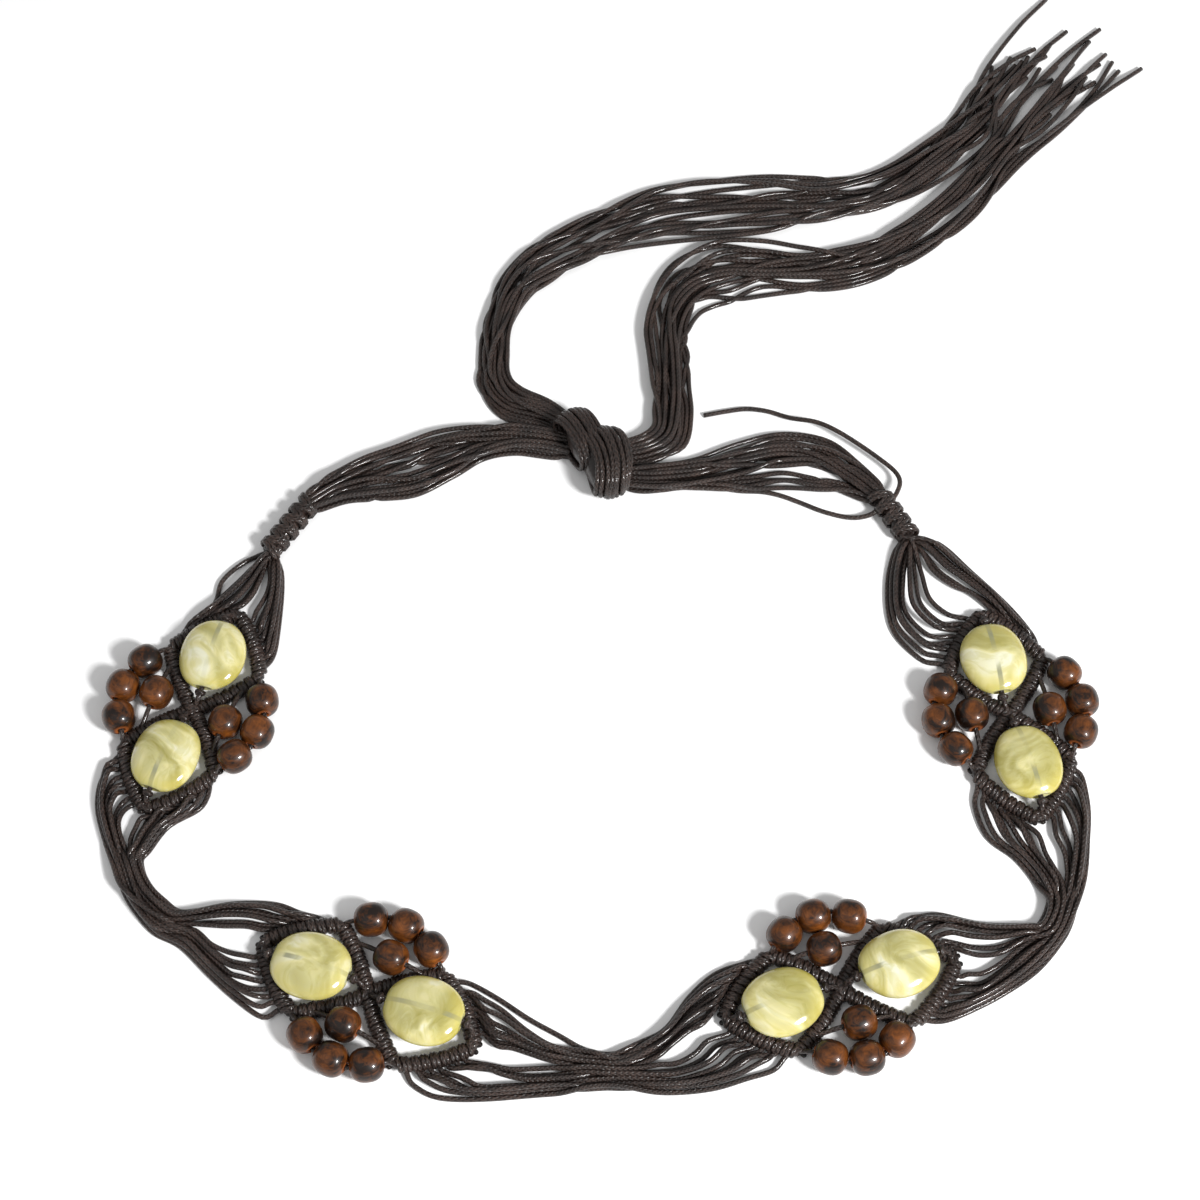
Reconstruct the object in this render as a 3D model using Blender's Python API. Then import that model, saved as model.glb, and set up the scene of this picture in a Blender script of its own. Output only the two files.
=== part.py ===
"""Beaded knotted cord belt, lying in a loop on a surface. Metres, +Z up.

Four wide X-shaped frames of knotted cord each carry two flat pebble beads and eight round beads.
Spans of loose cord join the frames, two short square-knot collars gather the cord behind the
outer frames, and one large overhand knot closes the loop and lets two long tails run free.
"""
import math

import bmesh
import bpy
from mathutils import Matrix, Vector

MM = 0.001

# Points nearer than this are one point
WELD = 0.001 * MM
FUSE_WELD = 0.01 * MM
FLAT_ANGLE = 0.5

# Driving sizes, each set by itself
CLEARANCE = 0.3 * MM
CORD_DIAMETER = 1.6 * MM
THREAD_DIAMETER = 1.44 * MM

FRAME_HALF_LENGTH = 35.0 * MM
CORNER_ALONG = 17.0 * MM
CORNER_ACROSS = 15.0 * MM
INNER_BOW = 0.9 * MM
OUTER_BOW = 1.5 * MM
BAR_WIDTH = 4.4 * MM
BAR_HEIGHT = 4.2 * MM
BAR_ROUNDING = 1.1 * MM

WOOD_DIAMETER = 10.2 * MM
WOOD_LENGTH = 10.0 * MM
WOOD_BORE = 2.4 * MM
WOOD_SIDES = 10
WOOD_BARREL = 0.4
BEAD_SPACING = 0.45 * MM
OUTER_HANG = 0.73
INNER_HANG = 0.3

PEBBLE_LENGTH = 24.0 * MM
PEBBLE_WIDTH = 20.4 * MM
PEBBLE_THICKNESS = 8.6 * MM
PEBBLE_BORE = 2.4 * MM
PEBBLE_SIDES = 12
PEBBLE_RINGS = 6
PEBBLE_FULLNESS = 2.1
PEBBLE_CENTRE = 17.9 * MM

COLLAR_WIDTH = 7.6 * MM
COLLAR_HEIGHT = 6.0 * MM
COLLAR_WRAPS = 4
COLLAR_SIDES = 10
COLLAR_NECK = 0.84

KNOT_LENGTH = 30.0 * MM
KNOT_WIDTH = 16.0 * MM
KNOT_HEIGHT = 14.0 * MM
WRAP_WIDTH = 13.0 * MM
KNOT_CORE_SHARE = 0.8
WRAP_FLATNESS = 0.72

FAN_STRIPS = 6
TAIL_STRIPS = 4
BACK_STRIPS = 5
STRIP_WIDTH = 2.5 * MM
FAN_PITCH = 3.0 * MM
FAN_HEIGHT = 2.4 * MM
BUNDLE_HEIGHT = 4.32 * MM
TAIL_HEIGHT = 3.84 * MM
STRIP_EDGE_SHARE = 0.62
LOOSE_SHARE = 0.4
FOOT_SHARE = 0.47
FAN_STATIONS = 2
ROUTE_STATIONS = 1
BAR_REACH = (0.26, 0.50, 0.74)
SEAT_SAMPLES = 12

# Sharper edges than this, in degrees, stay sharp on the cord bundles
BAND_CREASE = 50.0

# Where each frame lies on the surface: centre in millimetres, heading of its length in degrees,
# how far its eight round beads have slid along their threads, as shares of a bead's diameter,
# and how its two pebbles are turned and shifted across, in degrees and shares of their width
FRAMES = {
    "frame_left": dict(centre=(-125.0, -39.4), heading=-109.6, outer_slide=(0.08, 0.12),
                       inner_slide=(-0.06, 0.14), turn=(7, 0), shift=(-0.03, -0.02)),
    "frame_front_left": dict(centre=(-67.3, -130.4), heading=-26.7, outer_slide=(0.07, 0.06),
                             inner_slide=(-0.12, 0.13), turn=(10, 10), shift=(-0.05, 0.08)),
    "frame_front_right": dict(centre=(69.8, -128.9), heading=14.3, outer_slide=(0.08, -0.18),
                              inner_slide=(0.17, -0.16), turn=(5, 3), shift=(-0.04, 0.09)),
    "frame_right": dict(centre=(125.4, -41.0), heading=-80.0, outer_slide=(-0.06, 0.05),
                        inner_slide=(-0.07, 0.15), turn=(-2, 4), shift=(-0.04, 0.04)),
}

# Cord routes in millimetres, chosen by hand. A gather is (x, y, width) along the bundle; a
# shoulder is the middle of the group of cords that turns round one side of a frame's end.
COLLARS = {
    "collar_left": ((-93.0, 33.5), (-105.0, 15.5)),
    "collar_right": ((89.5, 36.0), (97.5, 22.0)),
}
SPANS = {
    "span_left": dict(start=("frame_left", 1, (-146.0, -78.0), (-129.5, -78.5)),
                      gathers=((-139.3, -91.5, 9.0), (-137.0, -99.5, 9.5), (-130.0, -107.5, 12.0)),
                      end=("frame_front_left", 0, (-108.5, -123.5), (-106.0, -106.0))),
    "span_front": dict(start=("frame_front_left", 1, (-33.0, -158.0), (-26.5, -137.5)),
                       gathers=((-11.0, -152.0, 14.0), (2.0, -153.8, 11.5), (13.0, -151.5, 13.0)),
                       end=("frame_front_right", 0, (36.0, -154.0), (28.5, -130.0))),
    "span_right": dict(start=("frame_front_right", 1, (113.0, -128.0), (112.0, -111.5)),
                       gathers=((129.5, -111.0, 15.0), (137.0, -102.0, 11.0), (138.3, -92.0, 11.0)),
                       end=("frame_right", 1, (144.0, -79.0), (119.5, -77.5))),
    "fan_left": dict(start=("collar_left", 1), gathers=((-107.4, 9.5, 9.5),),
                     end=("frame_left", 0, (-103.0, -8.0), (-120.0, 2.5))),
    "fan_right": dict(start=("collar_right", 1), gathers=((100.6, 15.5, 10.5),),
                      end=("frame_right", 0, (119.5, 5.5), (96.5, -4.0))),
    "back_left": dict(start=("collar_left", 0),
                      gathers=((-84.0, 39.5, 10.5), (-74.0, 43.5, 15.5),
                               (-62.0, 47.0, 21.0), (-50.0, 51.5, 20.0), (-40.0, 56.0, 14.0),
                               (-29.0, 58.0, 10.0), (-19.0, 57.0, 8.5), (-7.0, 53.5, 7.0)),
                      end=None),
    "back_right": dict(start=("collar_right", 0),
                       gathers=((81.0, 43.5, 13.0), (71.0, 48.5, 20.0),
                                (59.0, 50.0, 21.5), (46.0, 47.8, 18.5), (32.0, 45.0, 13.0),
                                (20.0, 43.5, 9.5), (13.0, 42.5, 8.0), (4.0, 42.5, 6.0)),
                       end=None),
}
TAILS = {
    "tail_left": dict(route=((-7.0, 62.5, 6.0), (-18.0, 67.8, 8.0), (-28.5, 72.5, 9.5),
                             (-34.5, 80.0, 9.5), (-34.5, 92.0, 9.0), (-33.5, 104.0, 9.5),
                             (-28.8, 116.8, 11.5), (-20.5, 126.8, 14.0), (-9.5, 135.0, 15.5),
                             (4.0, 141.5, 18.0), (21.0, 147.5, 22.5), (39.0, 150.5, 24.0),
                             (58.0, 152.5, 23.0), (76.0, 154.5, 19.5), (93.0, 159.5, 16.0),
                             (109.0, 170.5, 13.0), (119.5, 183.0, 13.0)),
                      tips=((166.0, 243.0), (158.0, 229.5), (148.0, 220.5), (139.0, 215.5))),
    "tail_right": dict(route=((4.0, 51.5, 6.0), (14.0, 53.5, 9.0), (22.5, 58.0, 12.0),
                              (24.2, 68.0, 12.5), (23.0, 80.0, 12.5), (22.3, 92.0, 13.0),
                              (23.0, 103.5, 15.0), (29.0, 115.0, 18.5), (41.0, 123.5, 21.5),
                              (56.0, 125.5, 20.5), (72.0, 125.5, 16.5), (88.0, 128.5, 12.5),
                              (104.5, 136.0, 11.5), (120.0, 147.5, 11.0), (132.5, 161.5, 11.0),
                              (143.0, 177.0, 12.0)),
                       tips=((159.0, 191.5), (191.5, 213.0), (182.0, 216.0), (177.0, 230.0))),
}
KNOT = dict(centre=(-1.0, 50.5), heading=-52.0, wraps=((-0.24, 70.0), (0.24, 104.0)))

MATERIALS = {
    "cord": ((0.032, 0.023, 0.020, 1.0), 0.5),
    "wood": ((0.050, 0.018, 0.011, 1.0), 0.25),
    "pebble": ((0.70, 0.68, 0.33, 1.0), 0.12),
}


def make_material(name):
    """A Principled material with the part's colour and roughness."""
    material = bpy.data.materials.new(name)
    material.use_nodes = True
    shader = material.node_tree.nodes["Principled BSDF"]
    colour, roughness = MATERIALS[name]
    shader.inputs["Base Color"].default_value = colour
    shader.inputs["Roughness"].default_value = roughness
    return material


def add_object(name, mesh, material, collection):
    """Link a mesh as one named object of the belt."""
    mesh.materials.clear()
    mesh.materials.append(material)
    piece = bpy.data.objects.new(name, mesh)
    collection.objects.link(piece)
    return piece


def point(x, y, z=0.0):
    """A hand-chosen place in millimetres as a vector in metres."""
    return Vector((x * MM, y * MM, z))


def smooth_route(points, steps):
    """Points along a Catmull-Rom curve through the given vectors."""
    padded = [2 * points[0] - points[1]] + list(points) + [2 * points[-1] - points[-2]]
    route = []
    for a, b, c, d in zip(padded, padded[1:], padded[2:], padded[3:]):
        for step in range(steps):
            t = step / steps
            route.append(0.5 * (2 * b + (c - a) * t + (2 * a - 5 * b + 4 * c - d) * t ** 2
                                + (3 * b - a - 3 * c + d) * t ** 3))
    route.append(points[-1].copy())
    return route


def tube_mesh(name, points, diameter, resolution):
    """A capped tube through the points, as a closed mesh."""
    curve = bpy.data.curves.new(name, "CURVE")
    curve.dimensions = "3D"
    curve.bevel_depth = diameter / 2
    curve.bevel_resolution = resolution
    curve.use_fill_caps = True
    spline = curve.splines.new("POLY")
    spline.points.add(len(points) - 1)
    for place, spot in zip(points, spline.points):
        spot.co = (*place, 1.0)
    return curve_to_mesh(name, curve)


def curve_to_mesh(name, curve):
    """The evaluated mesh of a curve, with its caps welded on."""
    guide = bpy.data.objects.new(name + "_guide", curve)
    bpy.context.scene.collection.objects.link(guide)
    graph = bpy.context.evaluated_depsgraph_get()
    mesh = bpy.data.meshes.new_from_object(guide.evaluated_get(graph))
    bpy.data.objects.remove(guide)
    bpy.data.curves.remove(curve)
    shape = bmesh.new()
    shape.from_mesh(mesh)
    bmesh.ops.remove_doubles(shape, verts=shape.verts, dist=WELD)
    bmesh.ops.recalc_face_normals(shape, faces=shape.faces)
    shape.to_mesh(mesh)
    shape.free()
    mesh.name = name
    return mesh


def boolean(piece, cutter_mesh, operation):
    """Join a mesh to a piece, or cut it away, and keep the result as the piece's mesh."""
    cutter = bpy.data.objects.new(piece.name + "_cutter", cutter_mesh)
    bpy.context.scene.collection.objects.link(cutter)
    modifier = piece.modifiers.new(operation, "BOOLEAN")
    modifier.operation = operation
    modifier.solver = "EXACT"
    modifier.object = cutter
    graph = bpy.context.evaluated_depsgraph_get()
    mesh = bpy.data.meshes.new_from_object(piece.evaluated_get(graph))
    piece.modifiers.remove(modifier)
    bpy.data.objects.remove(cutter)
    piece.data = mesh


def fuse_overlaps(piece):
    """Make one clean skin of strips that lie over each other."""
    modifier = piece.modifiers.new("fuse", "BOOLEAN")
    modifier.operation = "UNION"
    modifier.solver = "EXACT"
    modifier.operand_type = "COLLECTION"
    modifier.use_self = True
    graph = bpy.context.evaluated_depsgraph_get()
    mesh = bpy.data.meshes.new_from_object(piece.evaluated_get(graph))
    piece.modifiers.remove(modifier)
    shape = bmesh.new()
    shape.from_mesh(mesh)
    bmesh.ops.remove_doubles(shape, verts=shape.verts, dist=FUSE_WELD)
    bmesh.ops.dissolve_limit(shape, angle_limit=math.radians(FLAT_ANGLE), verts=shape.verts,
                             edges=shape.edges)
    bmesh.ops.triangulate(shape, faces=shape.faces)
    shape.to_mesh(mesh)
    shape.free()
    piece.data = mesh


def shade(piece, angle=35.0):
    """Smooth shading with the true corners kept sharp."""
    piece.data.shade_smooth()
    piece.data.set_sharp_from_angle(angle=math.radians(angle))


def frame_matrix(frame):
    """Place of a frame's own axes on the surface."""
    layout = FRAMES[frame]
    return Matrix.Translation(point(*layout["centre"])) @ Matrix.Rotation(
        math.radians(layout["heading"]), 4, "Z")


def bar_corners(side):
    """Centre line of the diamond on one side of the crossing, each of its bars bowed outward."""
    corners = [Vector((0, 0)), Vector((side * CORNER_ALONG, CORNER_ACROSS)),
               Vector((side * FRAME_HALF_LENGTH, 0)), Vector((side * CORNER_ALONG, -CORNER_ACROSS))]
    bows = (INNER_BOW, OUTER_BOW, OUTER_BOW, INNER_BOW)
    line = []
    for start, end, bow in zip(corners, corners[1:] + corners[:1], bows):
        run = (end - start).normalized()
        line += [start, start.lerp(end, 0.5) + Vector((-run.y, run.x)) * side * bow]
    return line


def offset_outline(points, distance):
    """A closed outline moved sideways, with mitred corners; positive is to the left."""
    moved = []
    for before, here, after in zip(points[-1:] + points[:-1], points, points[1:] + points[:1]):
        first = (here - before).normalized()
        second = (after - here).normalized()
        normal = Vector((-first.y - second.y, first.x + second.x)).normalized()
        moved.append(here + normal * distance / normal.dot(Vector((-first.y, first.x))))
    return moved


def frame_body(name):
    """Two joined diamonds of knotted bar, flat underneath and rounded on top."""
    half = BAR_WIDTH / 2
    right = bar_corners(1)
    grown = offset_outline(right, half)[1:]
    window_right = offset_outline(right, -half)
    window_left = [Vector((-corner.x, corner.y)) for corner in window_right]
    notch = half / right[1].normalized().x
    outline = [Vector((0, notch))] + grown + [Vector((0, -notch))]
    outline += [Vector((-corner.x, corner.y)) for corner in grown[::-1]]
    curve = bpy.data.curves.new(name, "CURVE")
    curve.dimensions = "2D"
    curve.fill_mode = "BOTH"
    curve.extrude = BAR_HEIGHT / 2
    for ring in (outline, window_left, window_right):
        spline = curve.splines.new("POLY")
        spline.points.add(len(ring) - 1)
        for corner, spot in zip(ring, spline.points):
            spot.co = (corner.x, corner.y, 0, 1)
        spline.use_cyclic_u = True
    mesh = curve_to_mesh(name, curve)
    mesh.transform(Matrix.Translation((0, 0, BAR_HEIGHT / 2)))
    shape = bmesh.new()
    shape.from_mesh(mesh)
    bmesh.ops.dissolve_limit(shape, angle_limit=math.radians(1), verts=shape.verts,
                             edges=shape.edges)
    top_rims = [edge for edge in shape.edges if edge.calc_face_angle(0) > math.radians(60)
                and min(vert.co.z for vert in edge.verts) > BAR_HEIGHT / 2]
    bmesh.ops.bevel(shape, geom=top_rims, offset=BAR_ROUNDING, segments=1, affect="EDGES",
                    profile=0.5)
    bmesh.ops.triangulate(shape, faces=shape.faces)
    shape.to_mesh(mesh)
    shape.free()
    return mesh


def outer_thread(side, slide):
    """Corner, two bends and corner of the thread that carries three round beads."""
    run = WOOD_LENGTH + 2 * BEAD_SPACING
    depth = CORNER_ACROSS + WOOD_DIAMETER * OUTER_HANG
    return [Vector((-CORNER_ALONG, side * CORNER_ACROSS)),
            Vector((slide - run / 2, side * depth)),
            Vector((slide + run / 2, side * depth)),
            Vector((CORNER_ALONG, side * CORNER_ACROSS))]


def wood_places(frame):
    """Name, centre and axis of each round bead, with the stretch of thread it sits on."""
    layout = FRAMES[frame]
    places = []
    for side, label in ((-1, "a"), (1, "b")):
        index = 0 if side < 0 else 1
        slide = layout["outer_slide"][index] * WOOD_DIAMETER
        bends = outer_thread(side, slide)
        step = WOOD_LENGTH / 2 + BEAD_SPACING
        first = (bends[0] - bends[1]).normalized()
        last = (bends[3] - bends[2]).normalized()
        inner = Vector((layout["inner_slide"][index] * WOOD_DIAMETER, side * inner_depth()))
        places += [("bead_1" + label, bends[1] + first * step, first),
                   ("bead_2" + label, (bends[1] + bends[2]) / 2, Vector((1, 0))),
                   ("bead_3" + label, bends[2] + last * step, last),
                   ("bead_4" + label, inner, Vector((1, 0)))]
    return places


def inner_depth():
    """How far from the frame's length the fourth bead of a side hangs."""
    return CORNER_ACROSS - WOOD_DIAMETER * INNER_HANG


def pebble_surface(x, y):
    """Half thickness of a pebble at a place in its own plan, as a length."""
    reach = (abs(2 * x / PEBBLE_LENGTH) ** PEBBLE_FULLNESS
             + abs(2 * y / PEBBLE_WIDTH) ** PEBBLE_FULLNESS) ** (1 / PEBBLE_FULLNESS)
    return PEBBLE_THICKNESS / 2 * math.sqrt(max(0.0, 1 - reach ** 2))


def pebble_places(frame):
    """Centre, turn and seat height of the two pebbles of a frame."""
    layout = FRAMES[frame]
    places = []
    for index, side in ((0, -1), (1, 1)):
        centre = Vector((side * PEBBLE_CENTRE, layout["shift"][index] * PEBBLE_WIDTH))
        turn = math.radians(layout["turn"][index])
        places.append((centre, turn, seat_height(side, centre, turn)))
    return places


def seat_height(side, centre, turn):
    """Height of a pebble's middle that just clears the bars under its rim."""
    height = PEBBLE_THICKNESS / 2 + CLEARANCE
    for inset, top in ((0.0, BAR_HEIGHT - BAR_ROUNDING), (BAR_ROUNDING, BAR_HEIGHT)):
        window = offset_outline(bar_corners(side), side * (inset - BAR_WIDTH / 2))
        for start, end in zip(window, window[1:] + window[:1]):
            for step in range(SEAT_SAMPLES + 1):
                spot = start.lerp(end, step / SEAT_SAMPLES) - centre
                x = spot.x * math.cos(turn) + spot.y * math.sin(turn)
                y = spot.y * math.cos(turn) - spot.x * math.sin(turn)
                underside = pebble_surface(x, y)
                if underside > 0:
                    height = max(height, top + CLEARANCE + underside)
    return height


def thread_meshes(frame):
    """Every bead thread of a frame, from bar to bar through its beads."""
    layout = FRAMES[frame]
    low = BAR_HEIGHT / 2
    high = WOOD_DIAMETER / 2
    meshes = []
    for index, side in ((0, -1), (1, 1)):
        slide = layout["outer_slide"][index] * WOOD_DIAMETER
        bends = outer_thread(side, slide)
        run = WOOD_LENGTH + BEAD_SPACING * 1.6
        rise = [bends[1] + (bends[0] - bends[1]).normalized() * run,
                bends[2] + (bends[3] - bends[2]).normalized() * run]
        route = [bends[0].to_3d() + Vector((0, 0, low)), rise[0].to_3d() + Vector((0, 0, high)),
                 bends[1].to_3d() + Vector((0, 0, high)), bends[2].to_3d() + Vector((0, 0, high)),
                 rise[1].to_3d() + Vector((0, 0, high)), bends[3].to_3d() + Vector((0, 0, low))]
        meshes.append(tube_mesh("thread", route, THREAD_DIAMETER, 0))
        depth = inner_depth()
        foot = depth * CORNER_ALONG / CORNER_ACROSS
        bead = layout["inner_slide"][index] * WOOD_DIAMETER
        reach = WOOD_LENGTH / 2 + BEAD_SPACING
        route = [Vector((-foot, side * depth, low)), Vector((bead - reach, side * depth, high)),
                 Vector((bead + reach, side * depth, high)), Vector((foot, side * depth, low))]
        meshes.append(tube_mesh("thread", route, THREAD_DIAMETER, 0))
    for side, (centre, turn, height) in zip((-1, 1), pebble_places(frame)):
        axis = Vector((math.cos(turn), math.sin(turn))) * (PEBBLE_LENGTH / 2 + BEAD_SPACING)
        inner, outer = centre - side * axis, centre + side * axis
        route = [Vector((0, 0, low)), inner.to_3d() + Vector((0, 0, height)),
                 outer.to_3d() + Vector((0, 0, height)), Vector((side * FRAME_HALF_LENGTH, 0, low))]
        meshes.append(tube_mesh("thread", route, CORD_DIAMETER, 0))
    return meshes


def build_frame(frame, material, collection):
    """One knotted frame with its bead threads fused to it."""
    piece = add_object(frame, frame_body(frame), material, collection)
    for mesh in thread_meshes(frame):
        boolean(piece, mesh, "UNION")
    piece.matrix_world = frame_matrix(frame)
    shade(piece)
    return piece


def wood_mesh():
    """A drilled round bead, its bore along X."""
    bore = WOOD_BORE / 2
    half = WOOD_LENGTH / 2
    radius = WOOD_DIAMETER / 2
    shoulder = half * WOOD_BARREL
    profile = [(bore, half), (radius, shoulder), (radius, -shoulder), (bore, -half)]
    shape = bmesh.new()
    ring = [shape.verts.new((r, 0, z)) for r, z in profile]
    edges = [shape.edges.new((a, b)) for a, b in zip(ring, ring[1:] + ring[:1])]
    bmesh.ops.spin(shape, geom=ring + edges, axis=(0, 0, 1), cent=(0, 0, 0), dvec=(0, 0, 0),
                   angle=2 * math.pi, steps=WOOD_SIDES, use_merge=True)
    bmesh.ops.remove_doubles(shape, verts=shape.verts, dist=WELD)
    bmesh.ops.recalc_face_normals(shape, faces=shape.faces)
    mesh = bpy.data.meshes.new("round_bead")
    shape.to_mesh(mesh)
    shape.free()
    mesh.transform(Matrix.Rotation(math.radians(90), 4, "Y"))
    return mesh


def build_round_beads(frame, material, collection):
    """The eight round beads of a frame."""
    mesh = wood_mesh()
    for label, centre, axis in wood_places(frame):
        piece = add_object(frame.replace("frame", "wood") + "_" + label, mesh.copy(), material,
                           collection)
        own = (Matrix.Translation(centre.to_3d() + Vector((0, 0, WOOD_DIAMETER / 2)))
               @ Matrix.Rotation(math.atan2(axis.y, axis.x), 4, "Z"))
        piece.matrix_world = frame_matrix(frame) @ own
        shade(piece)


def pebble_mesh():
    """A flat rounded pebble with its bore along its length, X."""
    shape = bmesh.new()
    bmesh.ops.create_uvsphere(shape, u_segments=PEBBLE_SIDES, v_segments=PEBBLE_RINGS, radius=1.0)
    for vert in shape.verts:
        flat = math.hypot(vert.co.x, vert.co.y)
        if flat > 1e-6:
            x, y = vert.co.x / flat, vert.co.y / flat
            swell = (abs(x) ** PEBBLE_FULLNESS + abs(y) ** PEBBLE_FULLNESS) ** (-1 / PEBBLE_FULLNESS)
            vert.co.x *= swell
            vert.co.y *= swell
        vert.co.x *= PEBBLE_LENGTH / 2
        vert.co.y *= PEBBLE_WIDTH / 2
        vert.co.z *= PEBBLE_THICKNESS / 2
    mesh = bpy.data.meshes.new("pebble")
    shape.to_mesh(mesh)
    shape.free()
    return mesh


def build_pebbles(frame, material, collection):
    """The two drilled pebbles of a frame."""
    for number, (centre, turn, height) in enumerate(pebble_places(frame), start=1):
        piece = add_object(frame.replace("frame", "pebble") + f"_{number}", pebble_mesh(),
                           material, collection)
        reach = Vector((PEBBLE_LENGTH, 0, 0))
        boolean(piece, tube_mesh("bore", [-reach, reach], PEBBLE_BORE, 2), "DIFFERENCE")
        own = Matrix.Translation(centre.to_3d() + Vector((0, 0, height))) @ Matrix.Rotation(
            turn, 4, "Z")
        piece.matrix_world = frame_matrix(frame) @ own
        shade(piece)


def bar_feet(frame, end, side, count):
    """Where a group of cords leaves one outer bar, from the frame's corner to its tip."""
    sign = -1 if end == 0 else 1
    corner = Vector((sign * CORNER_ALONG, side * CORNER_ACROSS))
    tip = Vector((sign * FRAME_HALF_LENGTH, 0))
    run = (tip - corner).normalized()
    out = Vector((run.y, -run.x))
    if out.dot(corner) < 0:
        out = -out
    place = frame_matrix(frame)
    feet = []
    for share in BAR_REACH[:count]:
        bow = OUTER_BOW * (1 - abs(2 * share - 1))
        lift = out * (BAR_WIDTH / 2 + CLEARANCE + bow)
        foot = place @ (corner.lerp(tip, share) + lift).to_3d()
        feet.append((foot, (place.to_3x3() @ run.to_3d()).normalized()))
    return feet


def fan_ends(end, count):
    """Foot, shoulder and foot direction of each strip at a frame's end, in order across."""
    frame, tip, first_shoulder, second_shoulder = end
    place = frame_matrix(frame)
    sign = -1 if tip == 0 else 1
    tip_point = place @ Vector((sign * FRAME_HALF_LENGTH, 0, 0))
    strips = []
    for shoulder, outward in ((first_shoulder, True), (second_shoulder, False)):
        middle = point(*shoulder)
        local = place.inverted() @ middle
        feet = bar_feet(frame, tip, 1 if local.y > 0 else -1, count // 2)
        away = middle - tip_point
        along = feet[0][1]
        away = (away - along * away.dot(along)).normalized()
        group = []
        for index, (foot, run) in enumerate(feet):
            slot = (len(feet) - 1) / 2 - index
            group.append((foot, middle + away * slot * FAN_PITCH, run))
        strips += group if outward else group[::-1]
    return strips


def strip_routes(gathers, start, end, count, stations):
    """Centre lines, half widths and joined flags of a span's strips, station by station."""
    spots = [point(x, y) for x, y, width in gathers]
    spans = [width * MM for x, y, width in gathers]
    centre = smooth_route(spots, stations)
    widths = [value.x for value in smooth_route([Vector((w, 0)) for w in spans], stations)]
    lines = [[] for _ in range(count)]
    halves = []
    joined = []
    for index, (spot, width) in enumerate(zip(centre, widths)):
        ahead = centre[min(index + 1, len(centre) - 1)] - centre[max(index - 1, 0)]
        across = Vector((-ahead.y, ahead.x, 0)).normalized()
        if index == 0 and start and "across" in start:
            across = aligned(start["across"], across)
        pitch = width / count
        shut = pitch <= STRIP_WIDTH
        joined.append(shut)
        halves.append(pitch / 2 if shut else min(STRIP_WIDTH / 2, pitch * LOOSE_SHARE))
        for number, line in enumerate(lines):
            line.append(spot - across * ((number - (count - 1) / 2) * pitch))
    before = end_points(lines, 0, start)
    after = end_points(lines, -1, end)
    for line, head, tail in zip(lines, before, after):
        line[:] = head[::-1] + line + tail
    extra_before = len(before[0])
    extra_after = len(after[0])
    fan_half = STRIP_WIDTH * FOOT_SHARE
    halves = [fan_half] * extra_before + halves + [fan_half] * extra_after
    joined = [False] * extra_before + joined + [False] * extra_after
    return lines, halves, settle(joined)


def settle(joined):
    """No lone joined station, and each end like its neighbour, so that every edge stays clean."""
    joined = list(joined)
    for index in range(1, len(joined) - 1):
        if joined[index] and not joined[index - 1] and not joined[index + 1]:
            joined[index] = False
    joined[0] = joined[1]
    joined[-1] = joined[-2]
    return joined


def end_points(lines, index, end):
    """The stations beyond a bundle's end, outward from it, for each strip."""
    count = len(lines)
    if end is None or end["kind"] == "plain":
        return [[] for _ in range(count)]
    routes = []
    order = end["strips"] if index == -1 else end["strips"][::-1]
    if ordered_wrong(lines, index, order):
        order = order[::-1]
    for line, (foot, shoulder, run) in zip(lines, order):
        inside = line[index]
        before = line[index - 1] if index == -1 else line[1]
        curve = smooth_route([before, inside, shoulder, foot], FAN_STATIONS)
        routes.append(curve[FAN_STATIONS + 1:])
    return routes


def ordered_wrong(lines, index, order):
    """Whether the fan's strips would cross the bundle's."""
    straight = (lines[0][index] - order[0][1]).length + (lines[-1][index] - order[-1][1]).length
    crossed = (lines[0][index] - order[-1][1]).length + (lines[-1][index] - order[0][1]).length
    return crossed < straight


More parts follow.
